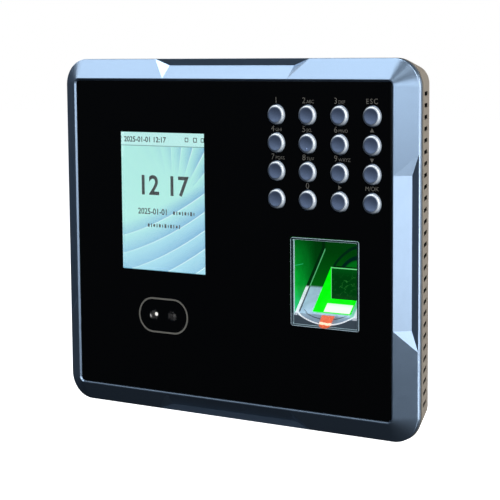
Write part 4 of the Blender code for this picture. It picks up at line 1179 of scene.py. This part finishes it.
def make_guide():
    bottom, top = spread(WINDOW_CENTRE[1], WINDOW_SIZE[1] - 2 * GAP)
    body_x = spread(WINDOW_CENTRE[0], WINDOW_SIZE[0] - 2 * GAP)
    back = RECESS_BACK + 0.0022
    shell = 0.0034
    flange = 0.0065
    points = [(bottom, GUIDE_FRONT), (top, GUIDE_FRONT), (top, back), (ramp_height(back - shell), back),
              (ramp_height(flange - shell), flange), (bottom, flange)]
    guide = solid("guide_shell", lambda bm: add_profile(bm, points, body_x))
    carve(guide, lambda bm: add_window(bm, -2 * GAP, (-0.001, 0.030)), "INTERSECT")
    carve(guide, block(spread(WINDOW_CENTRE[0], 0.0390), (PLATE_BACK + GAP, flange),
                       spread(WINDOW_CENTRE[1], 0.0430), 0.002), "UNION")
    carve(guide, block(
        grown(RECESS_X, 0.0002), (-0.001, APRON_DEPTH), (bottom + 0.0009, RECESS_TOP), 0.0008))
    carve(guide, lambda bm: add_profile(bm, ramp_profile(0.0, RECESS_TOP, RECESS_BACK), RECESS_X))
    carve(guide, lambda bm: add_profile(
        bm, ramp_profile(RAIL_HEIGHT, RECESS_TOP - 0.0002, RECESS_BACK - 0.0001, 0.0022),
        (RAIL_LEFT, RAIL_RIGHT)))
    lead = solid("lead_in", lambda bm: add_round(
        bm, LEAD_IN_CENTRE, LEAD_IN_RADIUS, (0.0, LEAD_IN_DEPTH), sides=160, end_radius=LEAD_IN_FOOT_RADIUS))
    carve(lead, block(grown((RAIL_LEFT, RAIL_RIGHT), 0.0001), (-0.001, 0.006), (-0.032, 0.0)), "INTERSECT")
    cut(guide, lead)
    carve(guide, block(grown(prism_x, GAP), (-0.001, 0.030), grown(prism_z, GAP)))
    soften(guide, 0.00012, segments=2, angle=25)
    dress(guide, guide_plastic(), stands_for=["finger_guide"])


def make_prism():
    foot = (prism_z[0], prism_depths[0])
    top = (prism_z[1], PRISM_TOP_DEPTH)
    heel = (PRISM_HEEL_HEIGHT, prism_depths[1])
    prism = solid("prism_block", lambda bm: add_profile(bm, [foot, top, heel], prism_x))
    soften(prism, 0.0001, segments=2)
    dress(prism, sensor_face(), stands_for=["fp_prism"])


def make_film_tab():
    """Thin orange strip with a round end that runs down the lead-in and over the apron."""
    (left, right), (front, back), (end, start) = ranges("film_tab")
    x = (left + right) / 2
    half = (right - left) / 2
    thickness = 0.00012
    steps = 24
    across = 12
    rows = []
    for i in range(steps + 1):
        t = i / steps
        z = start + (end - start) * t
        depth = back - (back - front) * (1 - (1 - t) ** 1.35) - thickness
        depth = max(depth, front)
        near_end = max(0.0, (t - 0.68) / 0.32)
        width = half * (0.92 - 0.16 * t) * math.sqrt(max(0.01, 1 - near_end ** 2.6))
        lean = half * (0.08 - 0.32 * t)
        row = []
        for k in range(across + 1):
            s = -1 + 2 * k / across
            row.append((x + lean + s * width, deep(depth + 0.00004 * s * s), z))
        rows.append(row)

    def sheet(bm):
        lines = [[bm.verts.new(point) for point in row] for row in rows]
        for near, far in zip(lines, lines[1:]):
            for k in range(across):
                bm.faces.new((near[k], near[k + 1], far[k + 1], far[k]))
    tab = solid("pull_tab", sheet)
    thick = tab.modifiers.new("thickness", "SOLIDIFY")
    thick.thickness = thickness
    thick.offset = 0
    smooth(tab, 60)
    # painted light: the film glows faintly in its own orange
    s = Shader("orange_film").set(IOR=1.45, Transmission_Weight=0.25, Emission_Strength=0.50)
    tone = s.mix(s.noise(500, 3), srgb(206, 92, 56), srgb(228, 122, 84))
    # painted highlight: a pale band across the film near z = -0.0292
    wander = s.waver(300, 2, -0.0003, 0.0003)
    painted_shine = s.near(s.plus(s.axes()["Z"], wander), -0.0292, 0.0005)
    tone = s.mix(painted_shine, tone, srgb(255, 222, 196))
    s.link(tone, "Base Color")
    s.link(tone, "Emission Color")
    s.link(s.waver(700, 2, 0.12, 0.30), "Roughness")
    s.bump(s.noise(380, 3), 0.25, 0.0002)
    dress(tab, s.material, stands_for=["film_tab"])


# ---- back cover ----------------------------------------------------------------------------------

def cover_rings(inset, front, back, edge, steps=1):
    """Rings of the tapering cover, moved inwards by inset, with a rounded rear edge."""
    def ring(depth, extra=0.0):
        share = (depth - COVER_FRONT) / (COVER_BACK - COVER_FRONT)
        size = [a + share * (b - a) - 2 * (inset + extra) for a, b in zip(LIP_SIZE, COVER_BACK_SIZE)]
        radius = LIP_RADIUS + share * (COVER_BACK_RADIUS - LIP_RADIUS) - inset - extra
        return outline(*size, radius, depth)
    rings = [ring(front)]
    for step in range(steps + 1):
        angle = step / steps * math.pi / 2
        rings.append(ring(back - edge * (1 - math.sin(angle)), edge * (1 - math.cos(angle))))
    return rings


def make_back_cover():
    plate_x, _, plate_z = ranges("wall_plate")
    posts = [(sx * POST_OUT[0], sz * POST_OUT[1]) for sx in (-1, 1) for sz in (-1, 1)]
    cover = solid("cover_shell", lambda bm: add_loft(
        bm, cover_rings(0.0, COVER_FRONT, COVER_BACK, COVER_EDGE, 5)))
    carve(cover, lambda bm: add_loft(
        bm, cover_rings(COVER_WALL, COVER_FRONT - 0.001, COVER_BACK - COVER_WALL, COVER_EDGE / 2)))
    grow = 0.0035
    carve(cover, block(grown(plate_x, grow), (DOCK_FLOOR - 0.0018, 0.0300),
                       (plate_z[0] - 0.0028, plate_z[1] + grow)), "UNION")
    carve(cover, rounds(posts, 0.0042, (0.0100, 0.0300)), "UNION")
    carve(cover, block(grown(plate_x, 0.001), (DOCK_FLOOR, 0.034), grown(plate_z, 0.001), 0.002))

    def vents(bm):
        for x in ((-0.090, -0.0765), (0.0765, 0.090)):
            for index in range(VENT_COUNT):
                height = spread(VENT_TOP - index * VENT_PITCH, VENT_HEIGHT)
                add_block(bm, x, VENT_DEPTHS, height, 0.0003, along=0, segments=3)
    carve(cover, vents)
    carve(cover, rounds(posts, 0.0018, (0.008, 0.034)))
    carve(cover, rounds(posts, 0.0032, (0.0287, 0.034)))
    carve(cover, block(OUTLET_X, THROUGH_BACK, OUTLET_Z, 0.002))
    tamper = middle("tamper_plunger")
    carve(cover, rounds([(tamper.x, tamper.z)], 0.0023, THROUGH_BACK))

    def slots(bm):
        for x in (-0.035, 0.035):
            add_block(bm, spread(x, 0.012), THROUGH_BACK, (0.0390, 0.0460))
        add_block(bm, (-0.011, 0.011), THROUGH_BACK, (-0.0667, -0.0635))
    carve(cover, slots)
    usb = middle("usb_socket")
    carve(cover, block(spread(usb.x, 0.0150), (0.0122, 0.0202), (-0.080, -0.0660), 0.0006, along=2))
    lock = middle("locking_screw")
    carve(cover, lambda bm: add_round(bm, (lock.x, lock.y - CREST_Y), 0.0018, (-0.080, -0.0670), along="Z"))
    smooth(cover)
    dress(cover, taupe, stands_for=["back_cover"])


# ---- CAD nodes that stay -------------------------------------------------------------------------

def keep_nodes():
    """Carried-over nodes get a better material."""
    finishes = (
        (steel_plate, "wall_plate usb_socket coin_cell"),
        (jack_steel, "network_jack"),
        (screw_steel, "locking_screw case_screw_1 case_screw_2 case_screw_3 case_screw_4"),
        (screw_steel, "board_screw_1 board_screw_2"),
        (board, "keypad_board camera_board fp_light_board fp_sensor_board main_board"),
        (polyimide, "keypad_ribbon lcd_ribbon fp_ribbon"),
        (white, "lcd_frame tamper_plunger"),
        (green, "terminal_block"),
        (black, "camera_holder fp_housing fp_lens buzzer power_jack loudspeaker"),
        (chip, "processor memory_chip relay capacitor tamper_switch"),
    )
    for material, names in finishes:
        for name in names.split():
            nodes[name].data.materials.clear()
            nodes[name].data.materials.append(material)


make_bezel()
make_panel()
make_legends()
make_display()
make_camera_lenses()
make_keys()
make_key_mat()
make_tamper_spring()
make_guide()
make_prism()
make_film_tab()
make_back_cover()
keep_nodes()

# ---- floor, light and camera ---------------------------------------------------------------------

scene = bpy.context.scene
scene.view_settings.view_transform = "Standard"

floor_mesh = solid("floor", lambda bm: bmesh.ops.create_grid(
    bm, x_segments=1, y_segments=1, size=3.0, matrix=Matrix.Translation((0, 0, cad_bounds[0][2] - 0.02))))
floor_shader = Shader("floor_paint").set(Roughness=0.9, Emission_Strength=1.0)
floor_tone = floor_shader.mix(floor_shader.noise(3), (0.96, 0.96, 0.96, 1), (0.98, 0.98, 0.98, 1))
floor_shader.link(floor_tone, "Base Color")
floor_shader.link(floor_tone, "Emission Color")
floor_mesh.data.materials.append(floor_shader.material)
floor_mesh.visible_glossy = False
floor_mesh.visible_diffuse = False
floor_mesh.visible_shadow = False

world = bpy.data.worlds.new("studio")
scene.world = world
world.use_nodes = True
links = world.node_tree.links
ground = world.node_tree.nodes["Background"]
ground.inputs["Color"].default_value = (0.24, 0.30, 0.39, 1)
heading = world.node_tree.nodes.new("ShaderNodeTexCoord")
height = world.node_tree.nodes.new("ShaderNodeSeparateXYZ")
fade = world.node_tree.nodes.new("ShaderNodeMapRange")
for key, number in (("From Min", -0.6), ("From Max", 0.5), ("To Min", 0.03), ("To Max", 0.22)):
    fade.inputs[key].default_value = number
links.new(heading.outputs["Generated"], height.inputs[0])
links.new(height.outputs["Z"], fade.inputs["Value"])
links.new(fade.outputs["Result"], ground.inputs["Strength"])
backdrop = world.node_tree.nodes.new("ShaderNodeBackground")
backdrop.inputs["Color"].default_value = (1, 1, 1, 1)
seen = world.node_tree.nodes.new("ShaderNodeLightPath")
choose = world.node_tree.nodes.new("ShaderNodeMixShader")
links.new(seen.outputs["Is Camera Ray"], choose.inputs[0])
links.new(ground.outputs[0], choose.inputs[1])
links.new(backdrop.outputs[0], choose.inputs[2])
links.new(choose.outputs[0], world.node_tree.nodes["World Output"].inputs["Surface"])


def softbox(name, direction, distance, size, radiance, colour=(1, 1, 1)):
    """Area light that faces the object; its brightness doesn't depend on its size."""
    light = bpy.data.lights.new(name, "AREA")
    light.shape = "RECTANGLE"
    light.size, light.size_y = size
    light.energy = radiance * math.pi * size[0] * size[1]
    light.color = colour
    lamp = bpy.data.objects.new(name, light)
    toward = Vector(direction).normalized()
    lamp.location = toward * distance
    lamp.rotation_euler = (-toward).to_track_quat("-Z", "Y").to_euler()
    scene.collection.objects.link(lamp)


softbox("top_left_box", (-0.57, -0.30, 0.76), 1.2, (1.1, 0.8), 1.55, (0.92, 0.96, 1.0))
softbox("right_side_box", (0.90, -0.42, 0.12), 1.2, (0.7, 0.9), 2.0, (0.99, 0.99, 1.0))
softbox("front_right_box", (0.47, -0.86, 0.16), 0.8, (0.45, 0.30), 1.8, (0.90, 0.95, 1.0))
softbox("right_key", (0.70, -0.40, 0.60), 1.2, (0.35, 0.35), 6.0, (1.0, 0.99, 0.96))
softbox("rear_right_box", (0.75, 0.62, 0.05), 1.2, (0.8, 1.0), 3.6)
softbox("top_spot", (-0.20, -0.16, 0.97), 1.2, (0.40, 0.40), 4.5, (0.98, 1.0, 1.0))
softbox("upper_right_box", (0.36, -0.48, 0.80), 1.2, (0.40, 0.40), 2.6, (0.98, 1.0, 1.0))
softbox("rear_top_box", (-0.80, 0.32, 0.50), 1.2, (0.45, 0.40), 1.9, (0.98, 1.0, 1.0))
softbox("low_right_box", (0.75, -0.37, -0.55), 1.2, (0.40, 0.40), 1.6, (0.92, 0.96, 1.0))

CAMERA_TILT = 0.1188
CAMERA_TURN = 0.6102
CAMERA_ROLL = -0.0077
CAMERA_SHIFT = Vector((-0.0099985, -0.0032412, 0.6774391))
FOCAL_SHARE = 3.35261          # focal length over the picture's width
SENSOR_WIDTH = 36.0

# camera axes: right, down and forward, for a world of right, down and back
turn = (Matrix.Rotation(CAMERA_ROLL, 3, "Z") @ Matrix.Rotation(CAMERA_TILT, 3, "X")
        @ Matrix.Rotation(CAMERA_TURN, 3, "Y"))
to_axes = Matrix(((1, 0, 0), (0, 0, -1), (0, 1, 0)))
axes = (turn @ to_axes).transposed()
right, down, forward = (axes @ Vector(unit) for unit in ((1, 0, 0), (0, 1, 0), (0, 0, 1)))
glass_centre = Vector((0, panel_low[1], 0))
eye = glass_centre - axes @ CAMERA_SHIFT
lens = bpy.data.cameras.new("camera")
lens.sensor_width = SENSOR_WIDTH
lens.lens = FOCAL_SHARE * SENSOR_WIDTH
lens.clip_start = 0.05
camera = bpy.data.objects.new("camera", lens)
camera.matrix_world = Matrix.Translation(eye) @ Matrix((right, -down, -forward)).transposed().to_4x4()
scene.collection.objects.link(camera)
scene.camera = camera
